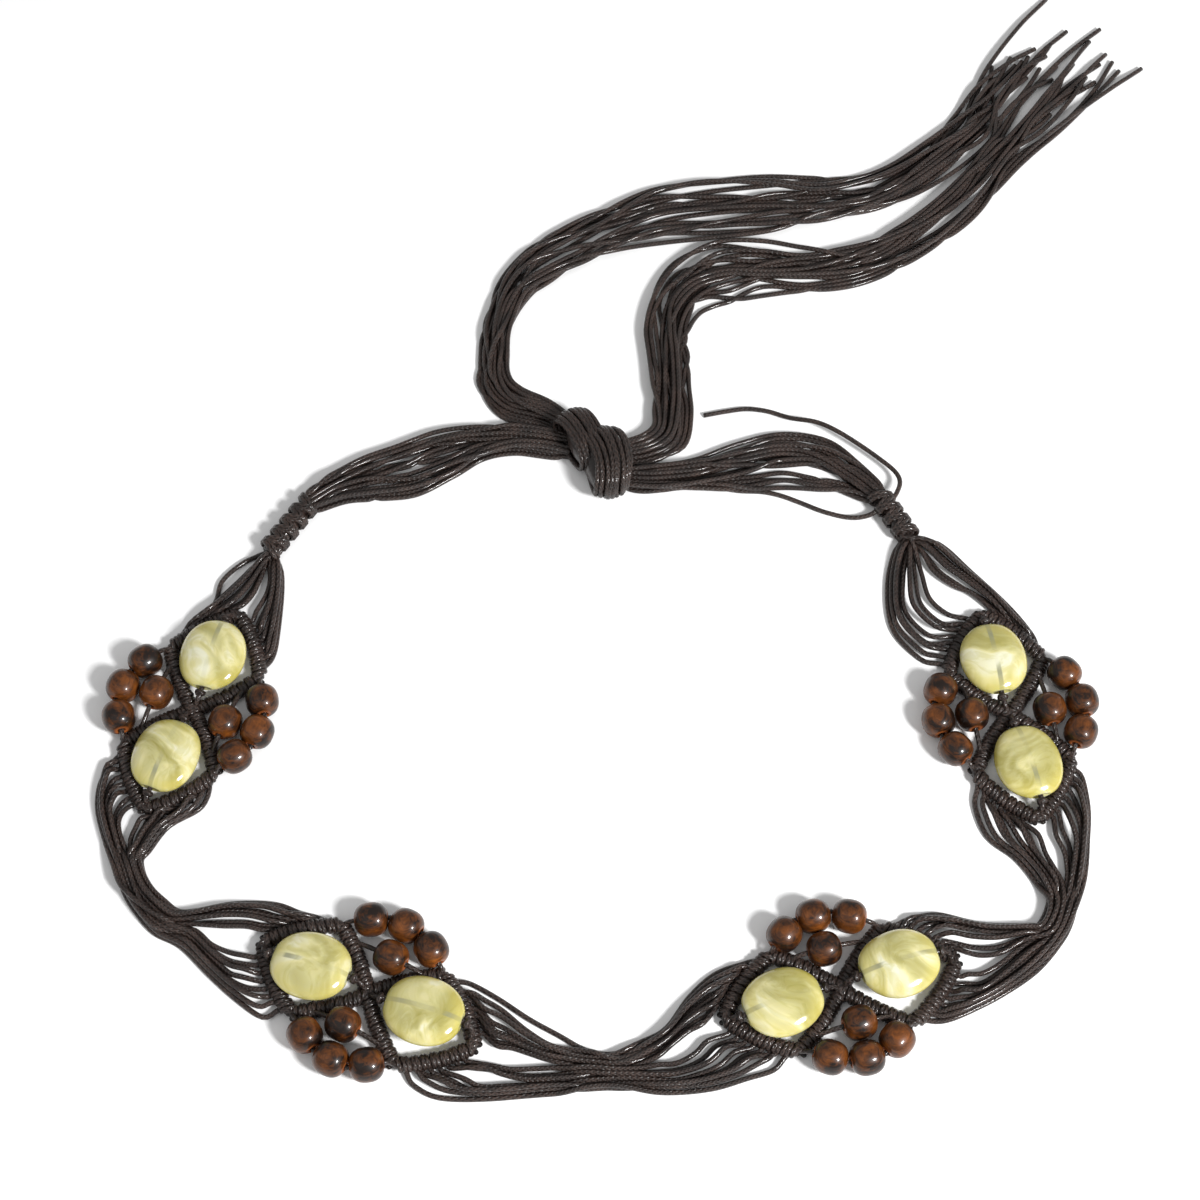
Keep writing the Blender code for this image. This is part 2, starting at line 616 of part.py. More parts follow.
def band_mesh(name, lines, halves, joined, heights, end_runs):
    """A closed body of ridged strips that part and meet along its length."""
    shape = bmesh.new()
    stations = len(joined)
    edges = {}
    for index in range(stations):
        sides = []
        for line in lines:
            ahead = line[min(index + 1, stations - 1)] - line[max(index - 1, 0)]
            across = Vector((-ahead.y, ahead.x, 0)).normalized()
            if index == stations - 1 and end_runs[1]:
                across = aligned(end_runs[1][lines.index(line)], across)
            if index == 0 and end_runs[0]:
                across = aligned(end_runs[0][lines.index(line)], across)
            sides.append([line[index] + across * halves[index],
                          line[index] - across * halves[index]])
        if joined[index]:
            for left, right in zip(sides, sides[1:]):
                middle = (left[1] + right[0]) / 2
                left[1] = middle
                right[0] = middle
        for number, (left, right) in enumerate(sides):
            for key, spot in (("left", left), ("right", right)):
                if key == "left" and joined[index] and number:
                    edges[number, key, index] = edges[number - 1, "right", index]
                    continue
                low = shape.verts.new((spot.x, spot.y, 0))
                high = shape.verts.new((spot.x, spot.y, heights[index] * STRIP_EDGE_SHARE))
                edges[number, key, index] = (low, high)
            crest = (left + right) / 2
            edges[number, "crest", index] = shape.verts.new((crest.x, crest.y, heights[index]))
    count = len(lines)
    for number in range(count):
        for index in range(stations - 1):
            left, next_left = edges[number, "left", index], edges[number, "left", index + 1]
            right, next_right = edges[number, "right", index], edges[number, "right", index + 1]
            crest, next_crest = edges[number, "crest", index], edges[number, "crest", index + 1]
            shape.faces.new((left[1], crest, next_crest, next_left[1]))
            shape.faces.new((crest, right[1], next_right[1], next_crest))
            shape.faces.new((left[0], next_left[0], next_right[0], right[0]))
            shut = joined[index] and joined[index + 1]
            if number == 0 or not shut:
                shape.faces.new((left[0], left[1], next_left[1], next_left[0]))
            if number == count - 1 or not shut:
                shape.faces.new((right[0], next_right[0], next_right[1], right[1]))
        for index in (0, stations - 1):
            left, right = edges[number, "left", index], edges[number, "right", index]
            shape.faces.new((left[0], right[0], right[1], edges[number, "crest", index], left[1]))
    bmesh.ops.recalc_face_normals(shape, faces=shape.faces)
    bmesh.ops.triangulate(shape, faces=shape.faces)
    mesh = bpy.data.meshes.new(name)
    shape.to_mesh(mesh)
    shape.free()
    return mesh


def aligned(run, across):
    """The end's direction along a bar, on the same side as the strip's own."""
    return run if run.dot(across) > 0 else -run


def collar_face(end):
    """Where cords meet a collar's flat end, with the direction across that end."""
    name, which = end
    places = [point(*spot) for spot in COLLARS[name]]
    out = (places[which] - places[1 - which]).normalized()
    spot = places[which] + out * CLEARANCE
    width = COLLAR_WIDTH * COLLAR_NECK
    return (spot.x / MM, spot.y / MM, width / MM), Vector((-out.y, out.x, 0))


def build_span(name, material, collection):
    """One span of cord, with its fans where it meets a frame."""
    layout = SPANS[name]
    ends = []
    gathers = list(layout["gathers"])
    count = BACK_STRIPS if layout["end"] is None else FAN_STRIPS
    for end in (layout["start"], layout["end"]):
        if end is None:
            ends.append(dict(kind="plain"))
        elif len(end) == 2:
            gather, across = collar_face(end)
            gathers.insert(0, gather)
            ends.append(dict(kind="plain", across=across))
        else:
            ends.append(dict(kind="fan", strips=fan_ends(end, count)))
    stations = ROUTE_STATIONS if layout["end"] is None else FAN_STATIONS
    lines, halves, joined = strip_routes(gathers, ends[0], ends[1], count, stations)
    heights = []
    for index, half in enumerate(halves):
        share = 1.0 if joined[index] else 0.0
        heights.append(FAN_HEIGHT + (BUNDLE_HEIGHT - FAN_HEIGHT) * share)
    runs = []
    for end, index in ((ends[0], 0), (ends[1], -1)):
        if end["kind"] == "fan":
            runs.append(nearest_runs(lines, index, end))
        else:
            runs.append([end["across"]] * count if "across" in end else None)
    mesh = band_mesh(name, lines, halves, joined, soften(heights), runs)
    piece = add_object(name, mesh, material, collection)
    if layout["end"]:
        fuse_overlaps(piece)
    shade(piece, BAND_CREASE)
    return piece


def nearest_runs(lines, index, end):
    """The bar direction at each strip's foot."""
    runs = []
    for line in lines:
        foot = min(end["strips"], key=lambda strip: (strip[0] - line[index]).length)
        runs.append(foot[2])
    return runs


def soften(heights):
    """Each station's height averaged with its neighbours."""
    padded = heights[:1] + heights + heights[-1:]
    return [(a + 2 * b + c) / 4 for a, b, c in zip(padded, padded[1:], padded[2:])]


def build_tail(name, material, collection):
    """One long tail, fused to its head at the knot and parting into locks at its tips."""
    layout = TAILS[name]
    strips = []
    for x, y in layout["tips"]:
        strips.append(point(x, y))
    lines, halves, joined = strip_routes(layout["route"], None, None, TAIL_STRIPS,
                                         ROUTE_STATIONS)
    if (lines[0][-1] - strips[0]).length > (lines[-1][-1] - strips[0]).length:
        strips = strips[::-1]
    for line, tip in zip(lines, strips):
        curve = smooth_route([line[-2], line[-1], line[-1].lerp(tip, 0.5), tip], FAN_STATIONS)
        line += curve[FAN_STATIONS + 1:]
    extra = len(lines[0]) - len(joined)
    halves = halves + [STRIP_WIDTH * LOOSE_SHARE] * extra
    joined = settle(joined + [False] * extra)
    heights = [TAIL_HEIGHT if shut else FAN_HEIGHT for shut in joined]
    mesh = band_mesh(name, lines, halves, joined, soften(heights), (None, None))
    piece = add_object(name, mesh, material, collection)
    fuse_overlaps(piece)
    shade(piece, BAND_CREASE)
    return piece


def build_collar(name, material, collection):
    """A short square-knot collar round the gathered cords, one ridge for each wrap."""
    start, end = [point(*spot) for spot in COLLARS[name]]
    length = (end - start).length
    radius = COLLAR_WIDTH / 2
    profile = [Vector((radius * COLLAR_NECK, 0, 0))]
    for wrap in range(COLLAR_WRAPS):
        for share, reach in ((0.5, 1.0), (1.0, COLLAR_NECK)):
            profile.append(Vector((radius * reach, 0, (wrap + share) * length / COLLAR_WRAPS)))
    shape = bmesh.new()
    spots = [Vector((0, 0, 0))] + profile + [Vector((0, 0, length))]
    ring = [shape.verts.new(spot) for spot in spots]
    edges = [shape.edges.new((a, b)) for a, b in zip(ring, ring[1:])]
    bmesh.ops.spin(shape, geom=ring + edges, axis=(0, 0, 1), cent=(0, 0, 0), dvec=(0, 0, 0),
                   angle=2 * math.pi, steps=COLLAR_SIDES, use_merge=True)
    bmesh.ops.remove_doubles(shape, verts=shape.verts, dist=WELD)
    bmesh.ops.recalc_face_normals(shape, faces=shape.faces)
    mesh = bpy.data.meshes.new(name)
    shape.to_mesh(mesh)
    shape.free()
    mesh.transform(Matrix.Rotation(math.radians(90), 4, "Y"))
    mesh.transform(Matrix.Diagonal((1, 1, COLLAR_HEIGHT / COLLAR_WIDTH, 1)))
    piece = add_object(name, mesh, material, collection)
    direction = end - start
    piece.matrix_world = (Matrix.Translation(start + Vector((0, 0, COLLAR_HEIGHT / 2)))
                          @ Matrix.Rotation(math.atan2(direction.y, direction.x), 4, "Z"))
    shade(piece)
    return piece


def knot_shapes(growth):
    """The core and the two wide wraps of the overhand knot, grown by a clearance."""
    place = Matrix.Translation(point(*KNOT["centre"], KNOT_HEIGHT / 2)) @ Matrix.Rotation(
        math.radians(KNOT["heading"]), 4, "Z")
    shapes = []
    core = bmesh.new()
    bmesh.ops.create_uvsphere(core, u_segments=10, v_segments=6, radius=1.0)
    size = (KNOT_LENGTH / 2 + growth, KNOT_WIDTH / 2 * KNOT_CORE_SHARE + growth,
            KNOT_HEIGHT / 2 * KNOT_CORE_SHARE + growth)
    bmesh.ops.scale(core, vec=size, verts=core.verts)
    bmesh.ops.transform(core, matrix=place, verts=core.verts)
    shapes.append(core)
    for share, angle in KNOT["wraps"]:
        wrap = bmesh.new()
        bmesh.ops.create_uvsphere(wrap, u_segments=12, v_segments=8, radius=1.0)
        size = (KNOT_WIDTH / 2 + growth, WRAP_WIDTH / 2 + growth, KNOT_HEIGHT / 2 + growth)
        for vert in wrap.verts:
            vert.co.y = max(-WRAP_FLATNESS, min(WRAP_FLATNESS, vert.co.y)) / WRAP_FLATNESS
        bmesh.ops.scale(wrap, vec=size, verts=wrap.verts)
        turn = Matrix.Rotation(math.radians(angle - 90 - KNOT["heading"]), 4, "Z")
        move = Matrix.Translation((share * KNOT_LENGTH, 0, 0))
        bmesh.ops.transform(wrap, matrix=place @ move @ turn, verts=wrap.verts)
        shapes.append(wrap)
    meshes = []
    for shape in shapes:
        bmesh.ops.remove_doubles(shape, verts=shape.verts, dist=WELD)
        bmesh.ops.recalc_face_normals(shape, faces=shape.faces)
        mesh = bpy.data.meshes.new("knot_shape")
        shape.to_mesh(mesh)
        shape.free()
        meshes.append(mesh)
    return meshes


def build_knot(material, collection):
    """The overhand knot: a core under two wide wraps."""
    core, *wraps = knot_shapes(0.0)
    piece = add_object("tie_knot", core, material, collection)
    for wrap in wraps:
        boolean(piece, wrap, "UNION")
    shade(piece, BAND_CREASE)
    return piece


def clear_scene():
    """Start from an empty scene."""
    for item in list(bpy.data.objects):
        bpy.data.objects.remove(item)


def centre_on_origin(pieces):
    """Move the whole belt so that the middle of its bounds stands over the origin."""
    bpy.context.view_layer.update()
    corners = [piece.matrix_world @ vert.co for piece in pieces for vert in piece.data.vertices]
    low = Vector([min(corner[axis] for corner in corners) for axis in range(3)])
    high = Vector([max(corner[axis] for corner in corners) for axis in range(3)])
    shift = Matrix.Translation((-(low.x + high.x) / 2, -(low.y + high.y) / 2, 0))
    for piece in pieces:
        piece.matrix_world = shift @ piece.matrix_world


def main():
    clear_scene()
    collection = bpy.data.collections.new("beaded_belt")
    bpy.context.scene.collection.children.link(collection)
    cord, wood, pebble = [make_material(name) for name in ("cord", "wood", "pebble")]
    for frame in FRAMES:
        build_frame(frame, cord, collection)
        build_round_beads(frame, wood, collection)
        build_pebbles(frame, pebble, collection)
    for name in COLLARS:
        build_collar(name, cord, collection)
    build_knot(cord, collection)
    bands = [build_span(name, cord, collection) for name in SPANS]
    bands += [build_tail(name, cord, collection) for name in TAILS]
    for piece in bands:
        if piece.name in ("back_left", "back_right", "tail_left", "tail_right"):
            for cutter in knot_shapes(CLEARANCE):
                boolean(piece, cutter, "DIFFERENCE")
            shade(piece, BAND_CREASE)
    centre_on_origin(list(collection.objects))


main()
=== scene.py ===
"""Looks of the beaded knotted cord belt: every cord, knot, wooden bead and resin pebble.

The file is laid out as an add-on: a property group for each kind of size or colour, an operator
for each group of like pieces, one for the stage, and a panel that lists them.
"""
import math

import bmesh
import bpy
import numpy as np
from bpy.props import FloatProperty, FloatVectorProperty, IntProperty, PointerProperty
from mathutils import Matrix, Vector


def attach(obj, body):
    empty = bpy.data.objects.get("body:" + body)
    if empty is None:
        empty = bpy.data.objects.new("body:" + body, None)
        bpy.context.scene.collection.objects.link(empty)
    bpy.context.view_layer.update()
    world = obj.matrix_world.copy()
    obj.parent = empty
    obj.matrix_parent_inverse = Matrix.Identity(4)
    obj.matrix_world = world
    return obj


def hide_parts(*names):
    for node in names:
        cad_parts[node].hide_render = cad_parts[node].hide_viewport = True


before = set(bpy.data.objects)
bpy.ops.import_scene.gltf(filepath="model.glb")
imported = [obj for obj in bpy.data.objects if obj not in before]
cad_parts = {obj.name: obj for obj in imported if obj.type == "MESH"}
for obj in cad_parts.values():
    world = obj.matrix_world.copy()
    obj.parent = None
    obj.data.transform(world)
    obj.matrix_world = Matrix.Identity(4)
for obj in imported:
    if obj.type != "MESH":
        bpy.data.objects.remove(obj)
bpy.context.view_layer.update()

bl_info = {
    "name": "Beaded Cord Belt",
    "version": (1, 0, 0),
    "blender": (4, 5, 0),
    "location": "View3D > Sidebar > Belt",
    "description": "Builds the cords, knots, beads and stage of a beaded knotted cord belt",
    "category": "Add Mesh",
}

MM = 0.001
SEED = 7

# Middle of the photo on the surface, in the frame's own millimetres
PHOTO_MIDDLE = (-20.04, -40.79)

# Frame construction, in millimetres, as the solids have it
HALF_LENGTH = 35.0
CORNER_ALONG = 17.0
CORNER_ACROSS = 15.0
INNER_BOW = 0.9
OUTER_BOW = 1.5
BAR_WIDTH = 4.4
BAR_HEIGHT = 4.2
BAR_ROUNDING = 1.1
CLEARANCE = 0.3
BEAD_SPACING = 0.45
OUTER_HANG = 0.73
INNER_HANG = 0.3
PEBBLE_FULLNESS = 2.1
PEBBLE_CENTRE = 17.9
GROUP = 8
CORDS = 2 * GROUP

# Each frame: centre in millimetres from the photo's middle, heading in degrees, how far its round
# beads slid as shares of a bead, and how its pebbles are turned and shifted across
FRAMES = {
    "left": dict(centre=(-125.0, -39.4), heading=-109.6, outer_slide=(0.08, 0.12),
                 inner_slide=(-0.06, 0.14), turn=(7, 0), shift=(-0.03, -0.02)),
    "front_left": dict(centre=(-67.3, -130.4), heading=-26.7, outer_slide=(0.07, 0.06),
                       inner_slide=(-0.12, 0.13), turn=(10, 10), shift=(-0.05, 0.08)),
    "front_right": dict(centre=(69.8, -128.9), heading=14.3, outer_slide=(0.08, -0.18),
                        inner_slide=(0.17, -0.16), turn=(5, 3), shift=(-0.04, 0.09)),
    "right": dict(centre=(125.4, -41.0), heading=-80.0, outer_slide=(-0.06, 0.05),
                  inner_slide=(-0.07, 0.15), turn=(-2, 4), shift=(-0.04, 0.04)),
}

# Cord routes in millimetres from the photo's middle. A bundle is (x, y, width) along its length.
# A fan guide is the path of one cord, by its number along the bar from the corner to the tip
COLLARS = {
    "collar_left": ((-93.0, 33.5), (-105.0, 15.5)),
    "collar_right": ((89.5, 36.0), (97.5, 22.0)),
}
FAN_GUIDES = {
    "left_bottom_outer": {
        0: ((-150.2, -55.0), (-151.4, -64.0), (-151.2, -72.0), (-148.0, -81.0)),
        4: ((-147.0, -65.5), (-148.6, -70.5), (-147.2, -76.0), (-144.8, -83.0)),
        7: ((-143.2, -73.0), (-144.4, -76.0), (-144.0, -80.0), (-142.4, -85.0))},
    "left_bottom_inner": {
        0: ((-117.3, -66.0), (-121.0, -72.0), (-129.5, -77.3), (-135.0, -85.0)),
        4: ((-129.3, -71.5), (-131.8, -75.2), (-134.6, -79.0), (-137.3, -85.0)),
        7: ((-137.4, -75.0), (-139.2, -78.6), (-140.2, -82.0), (-140.0, -86.5))},
    "front_left_outer": {
        0: ((-97.5, -137.0), (-105.0, -132.0), (-113.5, -124.5), (-122.5, -115.5)),
        4: ((-103.2, -125.4), (-107.8, -124.0), (-113.2, -119.3), (-120.5, -112.5)),
        7: ((-104.2, -118.6), (-108.5, -117.6), (-113.8, -115.2), (-119.0, -111.0))},
    "front_left_inner": {
        0: ((-87.5, -106.2), (-95.5, -102.6), (-108.0, -102.2), (-119.5, -104.8)),
        4: ((-95.5, -107.0), (-102.5, -105.3), (-110.5, -105.0), (-119.5, -106.6)),
        7: ((-99.5, -110.6), (-104.0, -109.6), (-110.5, -109.5), (-118.5, -109.0))},
    "front_middle_low_left": {
        0: ((-53.2, -157.2), (-46.0, -160.8), (-33.0, -161.2), (-16.0, -159.6)),
        1: ((-48.6, -156.6), (-42.5, -159.3), (-31.0, -159.8), (-16.0, -158.4)),
        4: ((-38.8, -155.6), (-34.0, -158.0), (-26.5, -157.9), (-16.0, -157.2)),
        5: ((-33.5, -152.5), (-28.0, -154.6), (-21.0, -156.2), (-13.0, -155.9)),
        7: ((-29.8, -152.2), (-25.2, -152.9), (-19.0, -152.7), (-12.0, -152.5))},
    "front_middle_high_left": {
        0: ((-37.5, -127.0), (-29.5, -131.5), (-20.5, -137.6), (-12.0, -142.4)),
        1: ((-34.8, -132.0), (-28.5, -135.3), (-21.0, -141.5), (-13.0, -146.3)),
        4: ((-31.5, -140.8), (-27.0, -143.0), (-21.0, -146.0), (-14.0, -148.6)),
        7: ((-29.5, -145.9), (-25.0, -146.6), (-19.8, -148.3), (-14.0, -150.2))},
    "front_middle_low_right": {
        0: ((49.5, -152.8), (42.0, -155.2), (32.0, -158.2), (20.0, -159.2)),
        1: ((45.6, -150.8), (39.5, -154.2), (30.5, -157.0), (20.0, -157.8)),
        4: ((38.6, -147.8), (34.0, -151.8), (28.0, -154.4), (20.0, -156.4)),
        7: ((31.0, -144.4), (27.2, -148.2), (22.0, -151.0), (16.0, -151.6))},
    "front_middle_high_right": {
        0: ((42.0, -120.8), (33.5, -124.0), (26.0, -131.0), (18.0, -142.0)),
        4: ((34.0, -131.0), (30.0, -133.5), (24.8, -137.5), (18.0, -143.6)),
        7: ((29.8, -139.0), (25.5, -141.5), (20.8, -145.3), (15.5, -149.5))},
    "front_right_outer": {
        0: ((94.0, -140.0), (104.5, -136.2), (116.0, -130.6), (127.5, -122.6)),
        3: ((101.6, -133.4), (107.5, -132.0), (115.5, -127.6), (126.0, -119.8)),
        5: ((105.4, -129.4), (110.5, -129.3), (117.0, -125.0), (126.0, -117.4)),
        7: ((107.0, -124.4), (111.6, -124.0), (117.5, -120.6), (126.0, -113.8))},
    "front_right_inner": {
        0: ((88.5, -106.2), (99.5, -105.6), (111.5, -108.6), (124.5, -109.4)),
        4: ((101.0, -109.2), (107.5, -110.4), (115.5, -111.4), (124.5, -111.2)),
        7: ((107.0, -117.6), (111.5, -118.6), (117.5, -117.6), (125.0, -113.4))},
    "right_bottom_outer": {
        0: ((146.2, -61.5), (147.0, -71.0), (145.9, -81.0), (144.0, -91.5)),
        4: ((143.0, -73.6), (144.0, -79.5), (142.8, -85.5), (140.8, -92.5)),
        7: ((136.4, -80.6), (138.4, -86.0), (138.8, -90.5), (138.6, -95.0))},
    "right_bottom_inner": {
        0: ((113.0, -71.0), (116.2, -81.0), (124.0, -87.8), (129.8, -95.6)),
        4: ((122.8, -76.0), (125.4, -82.0), (129.6, -88.2), (133.6, -95.0)),
        7: ((131.0, -80.5), (132.8, -86.6), (135.0, -91.4), (137.0, -96.5))},
    "right_top_outer": {
        0: ((135.2, -15.5), (129.0, -3.8), (118.0, 8.8), (107.5, 19.6)),
        4: ((125.5, -3.0), (117.5, 5.8), (110.5, 11.6), (103.6, 18.6)),
        7: ((118.0, 0.6), (111.5, 4.0), (105.5, 9.2), (101.8, 16.5))},
    "right_top_inner": {
        0: ((99.5, -21.2), (91.6, -11.0), (90.6, 4.0), (94.0, 17.5)),
        4: ((102.6, -13.6), (95.6, -5.0), (95.6, 6.5), (97.5, 16.5)),
        7: ((109.0, -6.2), (103.6, -0.6), (101.6, 8.0), (100.0, 16.0))},
    "left_top_inner": {
        0: ((-101.6, -25.0), (-101.0, -14.0), (-100.6, -1.0), (-101.6, 9.5)),
        4: ((-104.4, -12.6), (-102.8, -5.0), (-102.2, 3.0), (-102.8, 10.0)),
        7: ((-107.6, -5.0), (-104.9, 0.6), (-103.6, 6.2), (-103.8, 10.8))},
    "left_top_outer": {
        0: ((-127.0, -8.8), (-121.6, -2.4), (-114.5, 5.6), (-107.6, 13.4)),
        2: ((-122.6, -5.6), (-117.4, -0.2), (-111.6, 6.4), (-107.0, 12.6)),
        3: ((-121.0, -2.0), (-119.4, 6.0), (-113.6, 12.4), (-107.8, 15.2)),
        4: ((-118.0, -3.2), (-113.6, 1.6), (-109.8, 6.6), (-106.6, 12.0)),
        7: ((-112.6, -3.2), (-109.2, 1.0), (-107.2, 6.4), (-105.6, 11.8))},
}
SPANS = {
    "span_left": dict(start=("left", 1, "left_bottom_outer", "left_bottom_inner"),
                      gathers=((-140.6, -89.8, 7.6), (-137.6, -97.5, 8.0),
                               (-132.6, -103.8, 8.8), (-127.6, -108.2, 9.4)),
                      end=("front_left", 0, "front_left_outer", "front_left_inner"),
                      mixing=4.0),
    "span_front": dict(start=("front_left", 1, "front_middle_low_left",
                              "front_middle_high_left"),
                       gathers=((-3.0, -152.7, 12.6), (6.0, -152.8, 12.4)),
                       end=("front_right", 0, "front_middle_low_right",
                            "front_middle_high_right"), mixing=1.2),
    "span_right": dict(start=("front_right", 1, "front_right_outer", "front_right_inner"),
                       gathers=((132.4, -111.2, 8.4), (136.2, -103.4, 8.6)),
                       end=("right", 1, "right_bottom_outer", "right_bottom_inner"),
                       mixing=2.0),
    "fan_left": dict(start=None, gathers=((-101.8, 20.2, 5.4), (-103.4, 16.8, 5.4)),
                     end=("left", 0, "left_top_inner", "left_top_outer"), mixing=0.0),
    "fan_right": dict(start=None, gathers=((96.0, 25.0, 5.4), (97.8, 21.8, 6.0)),
                      end=("right", 0, "right_top_outer", "right_top_inner"), mixing=0.0),
    "back_left": dict(start=None,
                      gathers=((-93.8, 32.3, 6.0), (-92.6, 34.2, 6.6), (-84.0, 39.5, 9.5),
                               (-74.0, 43.5, 15.0), (-62.0, 47.0, 21.0), (-50.0, 51.5, 20.0),
                               (-40.0, 56.0, 13.5), (-29.0, 58.0, 9.5), (-19.0, 57.0, 9.0),
                               (-9.0, 54.5, 8.0)),
                      end=None, mixing=1.8),
    "back_right": dict(start=None,
                       gathers=((90.2, 34.8, 6.0), (88.9, 37.0, 7.0), (81.0, 43.5, 12.5),
                                (71.0, 48.5, 20.0), (59.0, 50.0, 21.5), (46.0, 47.8, 18.5),
                                (32.0, 45.0, 12.5), (20.0, 43.5, 9.5), (13.0, 43.0, 8.0),
                                (5.0, 43.5, 7.0)),
                       end=None, mixing=1.8),
}
TAILS = {
    "tail_left": dict(route=((-7.0, 61.0, 6.0), (-18.0, 67.8, 8.5), (-29.0, 72.5, 10.5),
                             (-34.5, 80.5, 10.0), (-34.8, 92.0, 9.5), (-33.5, 103.0, 10.0),
                             (-28.5, 116.5, 13.0), (-20.5, 126.5, 16.0), (-10.0, 134.5, 17.5),
                             (3.0, 141.5, 20.5), (20.0, 148.0, 26.5), (38.0, 151.0, 27.5),
                             (58.0, 153.0, 26.0), (75.0, 154.5, 22.0), (90.0, 157.0, 20.0),
                             (104.0, 163.0, 18.5), (118.0, 173.5, 18.5), (130.0, 185.0, 19.0)),
                      tips=((161.0, 245.0), (167.0, 230.0), (161.0, 224.0), (158.0, 219.0),
                            (155.0, 222.0), (152.0, 219.0), (148.0, 214.0), (146.0, 218.0),
                            (139.0, 214.0), (137.5, 204.0), (142.0, 210.0), (151.0, 209.0),
                            (144.0, 205.0), (150.0, 216.0), (156.0, 213.0), (134.5, 206.0))),
    "tail_right": dict(route=((4.0, 52.5, 7.0), (14.0, 54.0, 9.0), (22.0, 59.0, 12.0),
                              (23.6, 69.0, 12.5), (23.0, 80.0, 12.5), (22.5, 91.0, 13.0),
                              (22.5, 101.0, 14.5), (25.0, 111.5, 18.5), (31.5, 119.5, 22.5),
                              (42.0, 124.5, 24.0), (55.0, 125.5, 22.5), (69.0, 124.5, 18.5),
                              (82.0, 125.5, 14.5), (94.0, 129.5, 12.5), (107.0, 138.0, 13.0),
                              (119.0, 148.5, 14.0), (130.0, 161.0, 14.5), (140.0, 175.0, 15.0)),
                       tips=((179.0, 231.0), (174.0, 226.0), (180.0, 219.5), (182.0, 216.0),
                             (177.0, 215.0), (184.0, 212.0), (192.0, 213.0), (158.0, 192.5),
                             (172.0, 209.0), (168.0, 215.0), (165.0, 212.0), (170.0, 205.0),
                             (162.0, 214.0), (175.0, 207.0), (160.0, 208.0), (166.0, 203.0))),
}

# Single cords that leave a bundle: (x, y, height) along each
LOOSE_CORDS = {
    "back_right": (
        ((34.0, 68.0, 0.8), (41.0, 69.5, 0.8), (48.0, 70.5, 0.8), (55.0, 69.3, 1.2),
         (62.0, 66.2, 2.2), (70.0, 63.6, 4.0), (76.0, 60.3, 4.6), (83.0, 55.5, 4.2),
         (90.0, 50.0, 3.6), (95.0, 45.0, 3.6), (96.4, 41.0, 3.8), (95.0, 36.5, 4.4),
         (92.5, 32.5, 4.4)),
        ((34.0, 41.2, 1.4), (44.0, 39.4, 0.9), (52.0, 39.0, 0.8), (58.0, 37.6, 0.8),
         (64.0, 35.1, 0.8), (72.0, 31.5, 0.8), (80.0, 29.2, 1.2), (86.0, 29.6, 2.0),
         (89.6, 32.0, 2.8), (91.6, 34.0, 3.0)),
    ),
}

# The overhand knot's two visible wraps: middle in millimetres, heading of the cords on top, number
# of cords side by side, half reach along them and height
KNOT_WRAPS = (
    dict(centre=(-6.0, 55.2), heading=116.0, cords=8, reach=11.0, height=13.0, bow=1.2),
    dict(centre=(1.5, 46.2), heading=103.0, cords=9, reach=12.2, height=14.8, bow=2.6),
)
KNOT_CORES = (
    dict(centre=(-1.2, 50.4), heading=-52.0, length=27.0, width=13.0, height=11.0),
    dict(centre=(0.6, 45.6), heading=103.0, length=22.0, width=11.0, height=11.0),
)

EYE_ELEVATION = 62.0
EYE_DISTANCE = 787.5
LENS = 75.0


class BeltSizes(bpy.types.PropertyGroup):
    """Sizes that a user would change."""
    cord_diameter: FloatProperty(name="Cord", description="Diameter of every cord",
                                 default=1.6 * MM, unit="LENGTH")
    wood_diameter: FloatProperty(name="Round bead", description="Diameter of a wooden bead",
                                 default=10.2 * MM, unit="LENGTH")
    wood_length: FloatProperty(name="Bead length", description="Wooden bead along its hole",
                               default=10.0 * MM, unit="LENGTH")
    wood_bore: FloatProperty(name="Bead hole", description="Diameter of a wooden bead's hole",
                             default=2.4 * MM, unit="LENGTH")
    pebble_length: FloatProperty(name="Pebble length", description="Resin pebble along its hole",
                                 default=24.0 * MM, unit="LENGTH")
    pebble_width: FloatProperty(name="Pebble width", description="Resin pebble across",
                                default=20.4 * MM, unit="LENGTH")
    pebble_thickness: FloatProperty(name="Pebble thickness", description="Resin pebble's height",
                                    default=8.6 * MM, unit="LENGTH")
    pebble_bore: FloatProperty(name="Pebble hole", description="Diameter of a pebble's hole",
                               default=2.4 * MM, unit="LENGTH")
    hitch_pitch: FloatProperty(name="Hitch pitch", description="Spacing of the wraps on a bar",
                               default=1.5 * MM, unit="LENGTH")
    cord_sides: IntProperty(name="Cord sides", description="Sides of a cord's section",
                            default=8, min=6, max=16)


class BeltColours(bpy.types.PropertyGroup):
    """Colours that a user would change."""
    cord: FloatVectorProperty(name="Cord", description="Waxed cord", subtype="COLOR", size=3,
                              default=(0.0045, 0.0026, 0.0021))
    # Lighter colour for the braid's raised crowns: partly the threads' own colour, partly a
    # painted highlight on the plaits
    cord_threads_and_highlight: FloatVectorProperty(name="Cord threads and highlight", description="Waxed cord's lighter threads",
                                    subtype="COLOR", size=3, default=(0.060, 0.038, 0.031))
    wood_dark: FloatVectorProperty(name="Dark wood", description="Stained wood", subtype="COLOR",
                                   size=3, default=(0.0075, 0.0034, 0.0020))
    wood_red: FloatVectorProperty(name="Red wood", description="Wood showing through the stain",
                                  subtype="COLOR", size=3, default=(0.135, 0.040, 0.0065))
    resin: FloatVectorProperty(name="Resin", description="Body of the resin", subtype="COLOR",
                               size=3, default=(0.42, 0.39, 0.17))
    resin_pale: FloatVectorProperty(name="Resin cloud", description="White swirls in the resin",
                                    subtype="COLOR", size=3, default=(0.64, 0.63, 0.48))
    resin_deep: FloatVectorProperty(name="Resin depth", description="Deeper olive swirls",
                                    subtype="COLOR", size=3, default=(0.33, 0.30, 0.09))
    floor: FloatVectorProperty(name="Floor", description="Pale floor", subtype="COLOR", size=3,
                               default=(0.90, 0.90, 0.90))


